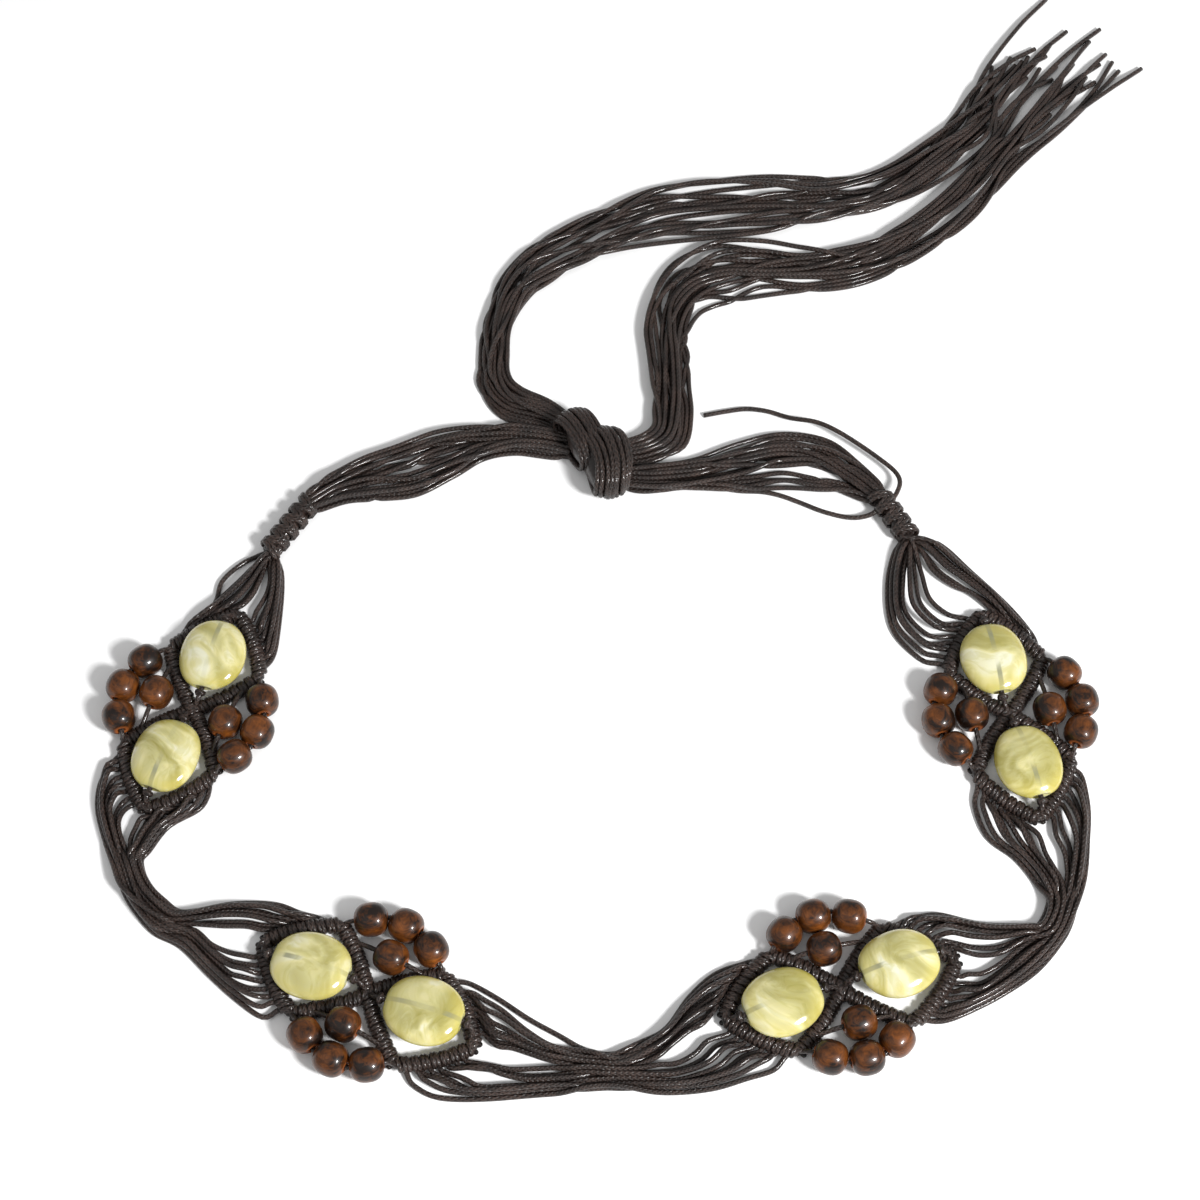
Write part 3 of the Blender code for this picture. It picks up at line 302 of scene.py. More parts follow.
def sizes():
    """The belt's sizes as the scene holds them."""
    return bpy.context.scene.belt_sizes


def colours():
    """The belt's colours as the scene holds them."""
    return bpy.context.scene.belt_colours


def place(x, y, z=0.0):
    """A given place in millimetres, with z in millimetres too, in the frame's metres."""
    return np.array(((x + PHOTO_MIDDLE[0]) * MM, (y + PHOTO_MIDDLE[1]) * MM, z * MM))


def smooth_route(points, counts):
    """Points along a Catmull-Rom curve, with so many samples on each of its segments."""
    points = [np.asarray(point, dtype=float) for point in points]
    padded = [2 * points[0] - points[1]] + points + [2 * points[-1] - points[-2]]
    route = []
    for index, count in enumerate(counts):
        a, b, c, d = padded[index:index + 4]
        for t in np.arange(count) / count:
            route.append(0.5 * (2 * b + (c - a) * t + (2 * a - 5 * b + 4 * c - d) * t ** 2
                                + (3 * b - a - 3 * c + d) * t ** 3))
    route.append(points[-1])
    return np.array(route)


def segment_counts(points, spacing):
    """How many samples each segment of a route takes at a spacing."""
    lengths = [np.linalg.norm(np.subtract(b, a)) for a, b in zip(points, points[1:])]
    return [max(2, round(length / spacing)) for length in lengths]


def tube_mesh(points, diameter, sides, closed=False):
    """A cord as a mesh, with U along it in centimetres and V round it, capped when open."""
    curve = bpy.data.curves.new("cord", "CURVE")
    curve.dimensions = "3D"
    curve.twist_mode = "Z_UP" if closed else "MINIMUM"
    curve.bevel_depth = diameter / 2
    curve.bevel_resolution = max(0, (sides - 4) // 2)
    curve.use_fill_caps = not closed
    spline = curve.splines.new("POLY")
    spline.points.add(len(points) - 1)
    spline.points.foreach_set("co", np.column_stack((points, np.ones(len(points)))).ravel())
    spline.use_cyclic_u = closed
    guide = bpy.data.objects.new("cord", curve)
    bpy.context.scene.collection.objects.link(guide)
    graph = bpy.context.evaluated_depsgraph_get()
    mesh = bpy.data.meshes.new_from_object(guide.evaluated_get(graph))
    bpy.data.objects.remove(guide)
    bpy.data.curves.remove(curve)
    length = float(np.linalg.norm(np.diff(points, axis=0), axis=1).sum())
    layer = mesh.uv_layers.active
    if layer:
        values = np.empty(2 * len(layer.uv))
        layer.uv.foreach_get("vector", values)
        values[0::2] *= length * 100
        layer.uv.foreach_set("vector", values)
    return mesh


def join_meshes(meshes):
    """Several meshes as one bmesh, with their caps welded."""
    shape = bmesh.new()
    for mesh in meshes:
        shape.from_mesh(mesh)
        bpy.data.meshes.remove(mesh)
    bmesh.ops.remove_doubles(shape, verts=shape.verts, dist=1e-6)
    return shape


def add_piece(name, shape, material, slot, *nodes):
    """Put a finished bmesh in the scene as a piece of the belt."""
    mesh = bpy.data.meshes.new(name)
    shape.to_mesh(mesh)
    shape.free()
    mesh.shade_smooth()
    piece = bpy.data.objects.new(name, mesh)
    bpy.context.scene.collection.objects.link(piece)
    mesh.materials.clear()
    mesh.materials.append(material)
    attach(piece, "root")
    if nodes:
        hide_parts(*nodes)
    return piece


def turned(vector, heading):
    """A plane vector turned by a heading in degrees."""
    c, s = math.cos(math.radians(heading)), math.sin(math.radians(heading))
    return np.array((vector[0] * c - vector[1] * s, vector[0] * s + vector[1] * c))


def on_frame(name, along, across, height=0.0):
    """A place on a frame, from its own plan in millimetres to the scene's metres."""
    layout = FRAMES[name]
    x, y = turned((along, across), layout["heading"]) + np.array(layout["centre"])
    return place(x, y, height)


class Nodes:
    """Short way to add and join the nodes of a material."""

    def __init__(self, name):
        self.material = bpy.data.materials.new(name)
        self.material.use_nodes = True
        self.tree = self.material.node_tree
        self.shader = self.tree.nodes["Principled BSDF"]

    def add(self, kind, settings=None, **inputs):
        """A node with its settings and its sockets set or joined."""
        node = self.tree.nodes.new("ShaderNode" + kind)
        for key, value in (settings or {}).items():
            setattr(node, key, value)
        for key, value in inputs.items():
            self.join(value, node.inputs[key.replace("_", " ")])
        return node

    def join(self, value, socket):
        """Join a socket, or set its value."""
        if isinstance(value, bpy.types.NodeSocket):
            self.tree.links.new(value, socket)
        else:
            socket.default_value = value

    def math(self, operation, first, second=0.0):
        """A math node's result."""
        node = self.tree.nodes.new("ShaderNodeMath")
        node.operation = operation
        self.join(first, node.inputs[0])
        self.join(second, node.inputs[1])
        return node.outputs[0]

    def ramp(self, factor, stops):
        """A colour ramp's result; a stop is (place, colour)."""
        node = self.tree.nodes.new("ShaderNodeValToRGB")
        elements = node.color_ramp.elements
        while len(elements) < len(stops):
            elements.new(0.5)
        for element, (spot, colour) in zip(elements, stops):
            element.position = spot
            element.color = (*colour, 1.0)
        self.join(factor, node.inputs[0])
        return node.outputs[0]

    def noise(self, vector, scale, detail=2.0, roughness=0.5, distortion=0.0):
        """A noise texture's factor."""
        node = self.add("TexNoise", Vector=vector, Scale=scale, Detail=detail,
                        Roughness=roughness, Distortion=distortion)
        return node.outputs["Fac"]

    def mix(self, factor, first, second, blend="MIX"):
        """Two colours mixed."""
        node = self.tree.nodes.new("ShaderNodeMix")
        node.data_type = "RGBA"
        node.blend_type = blend
        self.join(factor, node.inputs[0])
        self.join(first, node.inputs[6])
        self.join(second, node.inputs[7])
        return node.outputs[2]

    def set(self, **inputs):
        """The shader's own sockets."""
        for key, value in inputs.items():
            self.join(value, self.shader.inputs[key.replace("_", " ")])


def waxed_cord_material():
    """Dark braided cord: diagonal plaits, lighter threads that also carry a painted highlight on
    the plaits' crowns, and small wax glints.
    """
    nodes = Nodes("waxed_cord")
    spots = nodes.add("TexCoord")
    split = nodes.add("SeparateXYZ", Vector=spots.outputs["UV"])
    along = nodes.math("MULTIPLY", split.outputs["X"], 2 * math.pi * 6.5)
    round_ = nodes.math("MULTIPLY", split.outputs["Y"], 2 * math.pi * 4)
    right = nodes.math("SINE", nodes.math("ADD", along, round_))
    left = nodes.math("SINE", nodes.math("SUBTRACT", along, round_))
    plait = nodes.math("MAXIMUM", right, left)
    level = nodes.math("MULTIPLY_ADD", plait, 0.5)
    level.node.inputs[2].default_value = 0.5
    where = spots.outputs["Object"]
    patches = nodes.noise(where, 900.0, detail=3.0)
    wear = nodes.noise(where, 160.0, detail=2.0)
    # Painted highlight: in patches, the plaits' raised crowns take the lighter thread colour,
    # which stands partly for light caught on the braid
    tone = nodes.math("MULTIPLY", level, patches)
    body = nodes.mix(tone, (*colours().cord, 1), (*colours().cord_threads_and_highlight, 1))
    darker = nodes.ramp(wear, [(0.35, (0.55, 0.52, 0.50)), (0.65, (1.25, 1.2, 1.15))])
    nodes.set(Base_Color=nodes.mix(1.0, body, darker, "MULTIPLY"))
    rough = nodes.ramp(patches, [(0.36, (0.30, 0.30, 0.30)), (0.62, (0.62, 0.62, 0.62))])
    bump = nodes.add("Bump", Strength=0.9, Distance=0.00026, Height=level)
    nodes.set(Roughness=rough, Specular_IOR_Level=0.32, Normal=bump.outputs[0])
    nodes.set(Coat_Weight=0.40, Coat_Roughness=0.09, Coat_IOR=1.45)
    return nodes.material


def stained_wood_material():
    """Nearly black lacquered wood with red-brown grain showing in patches."""
    nodes = Nodes("stained_wood")
    where = nodes.add("TexCoord").outputs["Object"]
    broad = nodes.noise(where, 120.0, detail=2.0, distortion=0.6)
    stretch = nodes.add("Mapping", Vector=where, Scale=(1.0, 1.0, 4.0),
                        Rotation=(0.5, 0.35, 0.8))
    grain = nodes.noise(stretch.outputs[0], 380.0, detail=5.0, roughness=0.62, distortion=1.2)
    tone = nodes.math("MULTIPLY_ADD", grain, 0.45)
    nodes.join(nodes.math("MULTIPLY", broad, 0.62), tone.node.inputs[2])
    dark, red = colours().wood_dark, colours().wood_red
    middle = [a * 0.55 + b * 0.45 for a, b in zip(dark, red)]
    bright = [min(1.0, value * 2.1) for value in red]
    colour = nodes.ramp(tone, [(0.45, tuple(dark)), (0.56, tuple(middle)), (0.68, tuple(red)),
                               (0.78, tuple(bright))])
    edge = nodes.add("Attribute", {"attribute_name": "worn_rim"})
    rim = nodes.mix(nodes.math("MULTIPLY", edge.outputs["Fac"], 0.75), colour,
                    (0.42, 0.12, 0.03, 1))
    bump = nodes.add("Bump", Strength=0.25, Distance=0.00012, Height=grain)
    nodes.set(Base_Color=rim, Roughness=0.38, Specular_IOR_Level=0.2, Coat_Weight=0.36,
              Coat_Roughness=0.05, Coat_IOR=1.45, Normal=bump.outputs[0])
    return nodes.material


def marbled_resin_material():
    """Pale yellow-green resin with milky swirls, a painted amber glow of refracted light round its
    rim, and its grey hole showing.
    """
    nodes = Nodes("marbled_resin")
    where = nodes.add("TexCoord").outputs["Object"]
    bend = nodes.add("TexNoise", Vector=where, Scale=34.0, Detail=1.5, Roughness=0.45)
    shift = nodes.add("VectorMath", {"operation": "MULTIPLY_ADD"})
    nodes.join(bend.outputs["Color"], shift.inputs[0])
    shift.inputs[1].default_value = (0.05, 0.05, 0.05)
    nodes.join(where, shift.inputs[2])
    cloud = nodes.noise(shift.outputs[0], 62.0, detail=2.5, roughness=0.45, distortion=0.9)
    wisp = nodes.noise(shift.outputs[0], 150.0, detail=3.0, roughness=0.55, distortion=2.0)
    body = nodes.ramp(cloud, [(0.34, tuple(colours().resin_deep)), (0.46, tuple(colours().resin)),
                              (0.58, (0.58, 0.54, 0.28)), (0.68, tuple(colours().resin_pale))])
    streak = nodes.ramp(wisp, [(0.42, (0.84, 0.83, 0.66)), (0.55, (1.0, 1.0, 1.0))])
    tone = nodes.mix(0.7, body, streak, "MULTIPLY")
    plan = nodes.add("Attribute", {"attribute_name": "pebble_plan"}).outputs["Vector"]
    split = nodes.add("SeparateXYZ", Vector=plan)
    beside = nodes.math("ABSOLUTE", split.outputs["Y"])
    along = nodes.math("ABSOLUTE", split.outputs["X"])
    hole = nodes.ramp(nodes.math("MULTIPLY", beside, 400.0),
                      [(0.22, (0.8, 0.8, 0.8)), (0.36, (0.0, 0.0, 0.0))])
    misty = nodes.ramp(nodes.noise(shift.outputs[0], 95.0, detail=1.0),
                       [(0.42, (0.15, 0.15, 0.15)), (0.55, (1.0, 1.0, 1.0))])
    ends = nodes.ramp(nodes.math("MULTIPLY", along, 80.0),
                      [(0.12, (0.25, 0.25, 0.25)), (0.5, (1.0, 1.0, 1.0))])
    seen = nodes.math("MULTIPLY", nodes.math("MULTIPLY", hole, misty), ends)
    tone = nodes.mix(seen, tone, (0.20, 0.205, 0.13, 1))
    # Painted light: an amber band towards the pebble's edge stands in for light refracted through
    # the resin there
    reach = nodes.add("VectorMath", {"operation": "LENGTH"})
    nodes.join(plan, reach.inputs[0])
    far = nodes.math("MULTIPLY", reach.outputs["Value"], 80.0)
    rim = nodes.ramp(far, [(0.62, (0.0, 0.0, 0.0)), (0.86, (0.45, 0.45, 0.45))])
    tone = nodes.mix(rim, tone, (0.50, 0.42, 0.08, 1))
    nodes.set(Base_Color=tone, Roughness=0.14, Subsurface_Weight=0.45,
              Subsurface_Radius=(0.006, 0.005, 0.002), Subsurface_Scale=1.0,
              Coat_Weight=0.5, Coat_Roughness=0.05, IOR=1.5)
    return nodes.material


def build_material(name):
    """A material of the belt, made once."""
    makers = {"waxed_cord": waxed_cord_material, "stained_wood": stained_wood_material,
              "marbled_resin": marbled_resin_material}
    return bpy.data.materials.get(name) or makers[name]()


def outer_bends(side, slide):
    """Corner, two bends and corner of the thread that carries three round beads, in mm."""
    run = sizes().wood_length / MM + 2 * BEAD_SPACING
    depth = CORNER_ACROSS + sizes().wood_diameter / MM * OUTER_HANG
    return [np.array(spot) for spot in ((-CORNER_ALONG, side * CORNER_ACROSS),
                                        (slide - run / 2, side * depth),
                                        (slide + run / 2, side * depth),
                                        (CORNER_ALONG, side * CORNER_ACROSS))]


def unit(vector):
    """A vector of length one."""
    return vector / np.linalg.norm(vector)


def inner_depth():
    """How far from the frame's length the fourth bead of a side hangs, in mm."""
    return CORNER_ACROSS - sizes().wood_diameter / MM * INNER_HANG


def bead_places(name):
    """Label, centre and axis of each round bead of a frame, in its plan."""
    layout = FRAMES[name]
    bead = sizes().wood_diameter / MM
    step = sizes().wood_length / MM / 2 + BEAD_SPACING
    places = []
    for index, (side, label) in enumerate(((-1, "a"), (1, "b"))):
        bends = outer_bends(side, layout["outer_slide"][index] * bead)
        first, last = unit(bends[0] - bends[1]), unit(bends[3] - bends[2])
        inner = np.array((layout["inner_slide"][index] * bead, side * inner_depth()))
        places += [("1" + label, bends[1] + first * step, first),
                   ("2" + label, (bends[1] + bends[2]) / 2, np.array((1.0, 0.0))),
                   ("3" + label, bends[2] + last * step, last),
                   ("4" + label, inner, np.array((1.0, 0.0)))]
    return places


def round_bead(centre, heading, tilt, turn):
    """A drilled round bead with a worn rim round each hole, as a bmesh in place."""
    radius, half, bore = (sizes().wood_diameter / 2, sizes().wood_length / 2,
                          sizes().wood_bore / 2)
    shape = bmesh.new()
    rim = shape.verts.layers.float.new("worn_rim")
    start = math.asin((bore * 1.25 / radius) ** 1.2)
    spots = [(bore, 0.0), (bore, half * 0.9)]
    for step in range(15):
        angle = start + (math.pi - 2 * start) * step / 14
        rise = math.cos(angle) / math.cos(start)
        spots.append((radius * math.sin(angle) ** (1 / 1.2),
                      half * math.copysign(abs(rise) ** (1 / 1.2), rise)))
    spots += [(bore, -half * 0.9)]
    ring = [shape.verts.new((r, 0, z)) for r, z in spots]
    for vert in ring:
        vert[rim] = max(0.0, 1.0 - abs(vert.co.x - bore * 1.2) / (0.9 * MM))
    edges = [shape.edges.new(pair) for pair in zip(ring, ring[1:] + ring[:1])]
    bmesh.ops.spin(shape, geom=ring + edges, axis=(0, 0, 1), cent=(0, 0, 0), dvec=(0, 0, 0),
                   angle=2 * math.pi, steps=32, use_merge=True)
    bmesh.ops.remove_doubles(shape, verts=shape.verts, dist=1e-6)
    bmesh.ops.recalc_face_normals(shape, faces=shape.faces)
    own = (Matrix.Translation(centre) @ Matrix.Rotation(heading, 4, "Z")
           @ Matrix.Rotation(math.radians(90) + tilt, 4, "Y") @ Matrix.Rotation(turn, 4, "Z"))
    bmesh.ops.transform(shape, matrix=own, verts=shape.verts)
    return shape


def pebble_surface(x, y):
    """Half thickness of a pebble at a place in its own plan, in mm."""
    length, width = sizes().pebble_length / MM, sizes().pebble_width / MM
    reach = (abs(2 * x / length) ** PEBBLE_FULLNESS
             + abs(2 * y / width) ** PEBBLE_FULLNESS) ** (1 / PEBBLE_FULLNESS)
    return sizes().pebble_thickness / MM / 2 * math.sqrt(max(0.0, 1 - reach ** 2))


def seat_height(side, centre, turn):
    """Height in mm of a pebble's middle that clears the bars under its rim."""
    height = sizes().pebble_thickness / MM / 2 + CLEARANCE
    for outer in (False, True):
        for share in np.linspace(0.0, 1.0, 25):
            spot, out = bar_point(side, 1, outer, share)
            for inset, top in ((0.0, BAR_HEIGHT - BAR_ROUNDING), (BAR_ROUNDING, BAR_HEIGHT)):
                inner = spot + out * (inset - BAR_WIDTH / 2)
                for mirror in (1, -1):
                    x, y = turned(np.array((inner[0], mirror * inner[1])) - centre, -turn)
                    underside = pebble_surface(x, y)
                    if underside > 0:
                        height = max(height, top + CLEARANCE + underside)
    return height


def bar_point(side, across, outer, share):
    """A place on a bar's bowed centre line, from the crossing outward, and the way out there."""
    corner = np.array((side * CORNER_ALONG, across * CORNER_ACROSS))
    start, end = np.zeros(2), corner
    if outer:
        start, end = corner, np.array((side * HALF_LENGTH, 0.0))
    run = unit(end - start)
    out = np.array((-run[1], run[0])) * side * across
    bow = (OUTER_BOW if outer else INNER_BOW) * 4 * share * (1 - share)
    return start + (end - start) * share + out * bow, out


def pebble_places(name):
    """Centre, turn in degrees and height of a frame's two pebbles, in its plan."""
    layout = FRAMES[name]
    width = sizes().pebble_width / MM
    places = []
    for index, side in enumerate((-1, 1)):
        centre = np.array((side * PEBBLE_CENTRE, layout["shift"][index] * width))
        turn = layout["turn"][index]
        places.append((centre, turn, seat_height(side, centre, turn)))
    return places


def pebble_shape(centre, heading, seed):
    """A flat rounded pebble, a little uneven, drilled along its length."""
    rng = np.random.RandomState(seed)
    waves = [(rng.uniform(-0.012, 0.012), order, rng.uniform(0, 2 * math.pi))
             for order in (2, 3, 4)]
    half = np.array((sizes().pebble_length, sizes().pebble_width, sizes().pebble_thickness)) / 2
    bore = sizes().pebble_bore / 2
    shape = bmesh.new()
    start = math.asin(bore / half[2])
    ring = []
    for step in range(41):
        angle = start + (math.pi - 2 * start) * step / 40
        ring.append(shape.verts.new((math.sin(angle), 0, math.cos(angle))))
    edges = [shape.edges.new(pair) for pair in zip(ring, ring[1:])]
    bmesh.ops.spin(shape, geom=ring + edges, axis=(0, 0, 1), cent=(0, 0, 0), dvec=(0, 0, 0),
                   angle=2 * math.pi, steps=64, use_merge=True)
    bmesh.ops.remove_doubles(shape, verts=shape.verts, dist=1e-6)
    power = PEBBLE_FULLNESS
    plan = shape.verts.layers.float_vector.new("pebble_plan")
    for vert in shape.verts:
        x, y, z = vert.co.z, vert.co.x, vert.co.y
        flat = math.hypot(x, y)
        swell = flat / (abs(x) ** power + abs(y) ** power) ** (1 / power) if flat > 1e-4 else 1
        around = math.atan2(y, x)
        uneven = 1 + sum(size * math.sin(order * around + phase) for size, order, phase in waves)
        end = min(1.0, (1 - abs(x)) * 8)
        grow = 1 + (swell * uneven - 1) * end
        vert.co = (x * half[0] * grow, y * half[1] * grow, z * half[2])
        vert[plan] = vert.co
    open_rims = [edge for edge in shape.edges if edge.is_boundary]
    bmesh.ops.bridge_loops(shape, edges=open_rims)
    bmesh.ops.recalc_face_normals(shape, faces=shape.faces)
    own = Matrix.Translation(centre) @ Matrix.Rotation(heading, 4, "Z")
    bmesh.ops.transform(shape, matrix=own, verts=shape.verts)
    return shape


def hitched_bar(name, side, across, outer, phase):
    """One bar of double half hitches: cord wound on a core, in slanted pairs."""
    cord = sizes().cord_diameter / MM
    wide, high = (BAR_WIDTH + 0.6 - cord * 0.9) / 2, (BAR_HEIGHT - cord * 0.9) / 2
    rng = np.random.RandomState(phase)
    turns = 2 * GROUP
    jitter = rng.normal(0, 0.045, turns + 2)
    steps = 14
    points = []
    for index in range(turns * steps + 1):
        turn = index / steps
        angle = 2 * math.pi * turn
        swell = 1.0 + 0.05 * math.cos(math.pi * (turn + 0.5)) ** 2 + jitter[int(turn)]
        share = (turn - 0.14 * math.sin(math.pi * turn)) / turns
        share = 0.04 + 0.94 * share + 0.024 * math.cos(angle)
        spot, out = bar_point(side, across, outer, share)
        spot = spot + out * wide * swell * math.cos(angle)
        height = BAR_HEIGHT / 2 + high * (1 + jitter[int(turn)]) * math.sin(angle)
        points.append(on_frame(name, spot[0], spot[1], max(height, cord / 2)))
    return tube_mesh(np.array(points), sizes().cord_diameter, 8)


def bar_core(name, side, across, outer):
    """The cord that the hitches are tied on."""
    points = []
    for share in np.linspace(0.0, 1.0, 9):
        spot, out = bar_point(side, across, outer, share)
        points.append(on_frame(name, spot[0], spot[1], BAR_HEIGHT / 2))
    return tube_mesh(np.array(points), (BAR_WIDTH - 1.4) * MM, 10)


def corner_knot(name, spot, heading, size, middle=BAR_HEIGHT / 2):
    """A small tight loop of cord where two bars meet, or at the end of a pebble's hole."""
    points = []
    for step in range(16):
        angle = 2 * math.pi * step / 16
        lift = middle + size * 0.78 * math.sin(angle)
        side = size * math.cos(angle)
        flat = turned((0.25 * math.sin(2 * angle), side), heading)
        points.append(on_frame(name, spot[0] + flat[0], spot[1] + flat[1], max(lift, 0.8)))
    return tube_mesh(np.array(points), sizes().cord_diameter, 8, closed=True)


def frame_meshes(name):
    """Every bar, corner and bead thread of one frame."""
    meshes = []
    for side in (-1, 1):
        tip = (side * HALF_LENGTH, 0.0)
        for across in (-1, 1):
            meshes.append(corner_knot(name, (side * CORNER_ALONG, across * CORNER_ACROSS), 90.0,
                                      1.5))
            for outer in (False, True):
                phase = 8 + 4 * side + 2 * across + outer
                meshes.append(hitched_bar(name, side, across, outer, phase))
                meshes.append(bar_core(name, side, across, outer))
        meshes.append(corner_knot(name, tip, 0.0, 1.5))
        meshes.append(corner_knot(name, (side * (HALF_LENGTH - 1.3), 0), 25.0, 1.6))
    for turn in (-45.0, 45.0, 0.0):
        meshes.append(corner_knot(name, (0.0, 0.0), turn, 1.7))
    return meshes + thread_meshes(name)


def thread_tube(name, spots, diameter):
    """A bead thread through plan places with heights, as a smooth tube."""
    points = [on_frame(name, *spot) for spot in spots]
    route = smooth_route(points, segment_counts(points, 0.9 * MM))
    return tube_mesh(route, diameter, 8)


def thread_meshes(name):
    """The threads that carry a frame's beads, from bar to bar."""
    layout = FRAMES[name]
    bead = sizes().wood_diameter / MM
    half = sizes().wood_length / MM / 2
    low, high = BAR_HEIGHT / 2, bead / 2
    cord = sizes().cord_diameter * 0.95
    meshes = []
    for index, side in enumerate((-1, 1)):
        bends = outer_bends(side, layout["outer_slide"][index] * bead)
        reach = 2 * half + BEAD_SPACING
        spots = [(*bends[0], low)]
        spots.append((*(bends[1] + unit(bends[0] - bends[1]) * reach), high))
        spots.append((*(bends[1] + unit(bends[0] - bends[1]) * BEAD_SPACING), high))
        spots.append((*(bends[1] + unit(bends[2] - bends[1]) * BEAD_SPACING), high))
        spots.append((*(bends[2] - unit(bends[2] - bends[1]) * BEAD_SPACING), high))
        spots.append((*(bends[2] + unit(bends[3] - bends[2]) * BEAD_SPACING), high))
        spots.append((*(bends[2] + unit(bends[3] - bends[2]) * reach), high))
        spots.append((*bends[3], low))
        meshes.append(thread_tube(name, spots, cord))
        depth = inner_depth()
        foot = depth * CORNER_ALONG / CORNER_ACROSS
        slide = layout["inner_slide"][index] * bead
        meshes.append(thread_tube(name, [(-foot, side * depth, low),
                                         (slide - half - BEAD_SPACING, side * depth, high),
                                         (slide + half + BEAD_SPACING, side * depth, high),
                                         (foot, side * depth, low)], cord))
    for side, (centre, turn, height) in zip((-1, 1), pebble_places(name)):
        axis = turned((sizes().pebble_length / MM / 2 + BEAD_SPACING * 0.5, 0), turn)
        inner, outer = centre - side * axis, centre + side * axis
        meshes.append(thread_tube(name, [(0, 0, low), (*inner, height), (*outer, height),
                                         (side * (HALF_LENGTH - 1), 0, low)], cord * 1.1))
        for spot, way in ((inner, -side), (outer, side)):
            knob = spot + turned((way * 1.0, 0), turn)
            meshes.append(corner_knot(name, knob, turn, 1.0, height))
    return meshes


def bar_feet(name, end, across_sign):
    """Where eight cords leave one outer bar, corner first, with the way out of the bar."""
    side = -1 if end == 0 else 1
    feet = []
    for index in range(GROUP):
        spot, out = bar_point(side, across_sign, True, hitch_share(index))
        feet.append([on_frame(name, *(spot + out * reach), height) for reach, height in
                     ((BAR_WIDTH / 2 - 1.2, 1.5), (BAR_WIDTH / 2 + 0.9, 1.3))])
    return feet


def hitch_share(index):
    """How far along a bar the middle of a cord's double hitch lies."""
    return 0.05 + 0.88 * (index + 0.5) / GROUP


def guided(guides, rank):
    """One cord's path through a fan, from the paths of its neighbours."""
    known = sorted(guides)
    before = max(key for key in known if key <= rank)
    after = min(key for key in known if key >= rank)
    share = (rank - before) / max(after - before, 1)
    return [np.array(a) * (1 - share) + np.array(b) * share
            for a, b in zip(guides[before], guides[after])]


def fan_end(end):
    """Foot, lead and path of each of sixteen cords at a frame's end, in order across."""
    name, tip, first, second = end
    layout = FRAMES[name]
    cords = []
    for key, forward in ((first, True), (second, False)):
        guides = FAN_GUIDES[key]
        local = turned(np.array(guides[0][1]) - np.array(layout["centre"]), -layout["heading"])
        feet = bar_feet(name, tip, 1 if local[1] > 0 else -1)
        group = []
        for index, (foot, lead) in enumerate(feet):
            path = [place(*spot, 0.9 + 1.3 * (index % 3)) for spot in guided(guides, index)]
            onward = path[1] - lead
            gone = (path[0] - lead) @ onward / (onward @ onward)
            if gone < 0.2:
                path[0] = lead + onward * 0.38
            if index < 2:
                lead = foot + (path[0] - foot) * (0.3 + 0.1 * index)
            group.append([foot, lead] + path)
        cords += group if forward else group[::-1]
    return cords


def bundle_slots(gathers, count, start_rank, end_rank, rng, looseness=0.0):
    """Control points of each cord at each gather: across the bundle and piled in it."""
    centres = np.array([place(x, y) for x, y, width in gathers])
    widths = np.array([width * MM for x, y, width in gathers])
    diameter = sizes().cord_diameter
    ahead = np.gradient(centres, axis=0)
    across = np.column_stack((ahead[:, 1], -ahead[:, 0], np.zeros(len(ahead))))
    across /= np.linalg.norm(across, axis=1)[:, None]
    shares = np.linspace(0, 1, len(gathers))
    blend = shares * shares * (3 - 2 * shares)
    slots = np.zeros((count, len(gathers), 3))
    layer = rng.permutation(count) % 3
    drift = np.cumsum(rng.uniform(0.08, 0.28, len(gathers)))
    for cord in range(count):
        rank = start_rank[cord] + (end_rank[cord] - start_rank[cord]) * blend
        wander = rng.normal(0, 0.5 + looseness * 2.2, len(gathers) + 4)
        wander = np.convolve(wander, (0.1, 0.24, 0.32, 0.24, 0.1), "valid")
        wander += looseness * 1.3 * np.sin(2 * math.pi * (rank / 3.2 + drift))
        sway = rng.uniform(0.8, 2.6) * math.pi * shares + rng.uniform(0, 2 * math.pi)
        wander += looseness * rng.normal(0, 1.6) * (np.sin(sway) - np.sin(sway[0]))
        wander = np.clip(rank + wander, -0.6, count - 0.4) - rank
        offset = ((rank + wander + 0.5) / count - 0.5) * (widths - diameter)
        crowd = np.clip(1.2 + 0.6 * looseness - widths / (count * diameter), 0, 1)
        height = diameter / 2 + layer[cord] * diameter * 0.9 * crowd
        slots[cord] = centres + across * offset[:, None]
        slots[cord, :, 2] = height
    return slots, across


def shuffled_rank(count, mixing, rng):
    """Each cord's place across the bundle after the cords have changed places."""
    return np.argsort(np.argsort(np.arange(count) + rng.normal(0, mixing, count)))


def relax(cords, fixed_start, fixed_end, rounds=34, weight=0.04):
    """Push cords apart until they lie side by side, and let them down on the floor."""
    diameter = sizes().cord_diameter
    base = cords.copy()
    count, stations = cords.shape[:2]
    free = np.ones(stations)
    free[:fixed_start] = 0
    free[stations - fixed_end:] = 0
    same = np.eye(count, dtype=bool)
    for step in range(rounds):
        push = np.zeros_like(cords)
        hits = np.zeros((count, stations))
        for shift in range(-3, 4):
            low, high = max(0, shift), min(stations, stations + shift)
            here = cords[:, low - shift:high - shift]
            there = cords[:, low:high]
            gap = here[:, None] - there[None]
            apart = np.linalg.norm(gap, axis=3)
            apart[same] = 1.0
            over = np.clip(diameter - apart, 0, None)
            amount = (gap / np.maximum(apart, 1e-6)[..., None] * over[..., None]).sum(axis=1)
            push[:, low - shift:high - shift] += amount * 0.5
            hits[:, low - shift:high - shift] += (over > 0).sum(axis=1)
        move = push / np.maximum(1.0, hits * 0.35)[..., None]
        move += (base - cords) * 0.03
        move[..., 2] -= weight * MM
        offset = cords + move * free[None, :, None] - base
        for _ in range(2):
            offset[:, 1:-1] = (offset[:, :-2] + 2 * offset[:, 1:-1] + offset[:, 2:]) / 4
        cords = base + offset * free[None, :, None]
        cords[..., 2] = np.maximum(cords[..., 2], diameter / 2)
    return cords


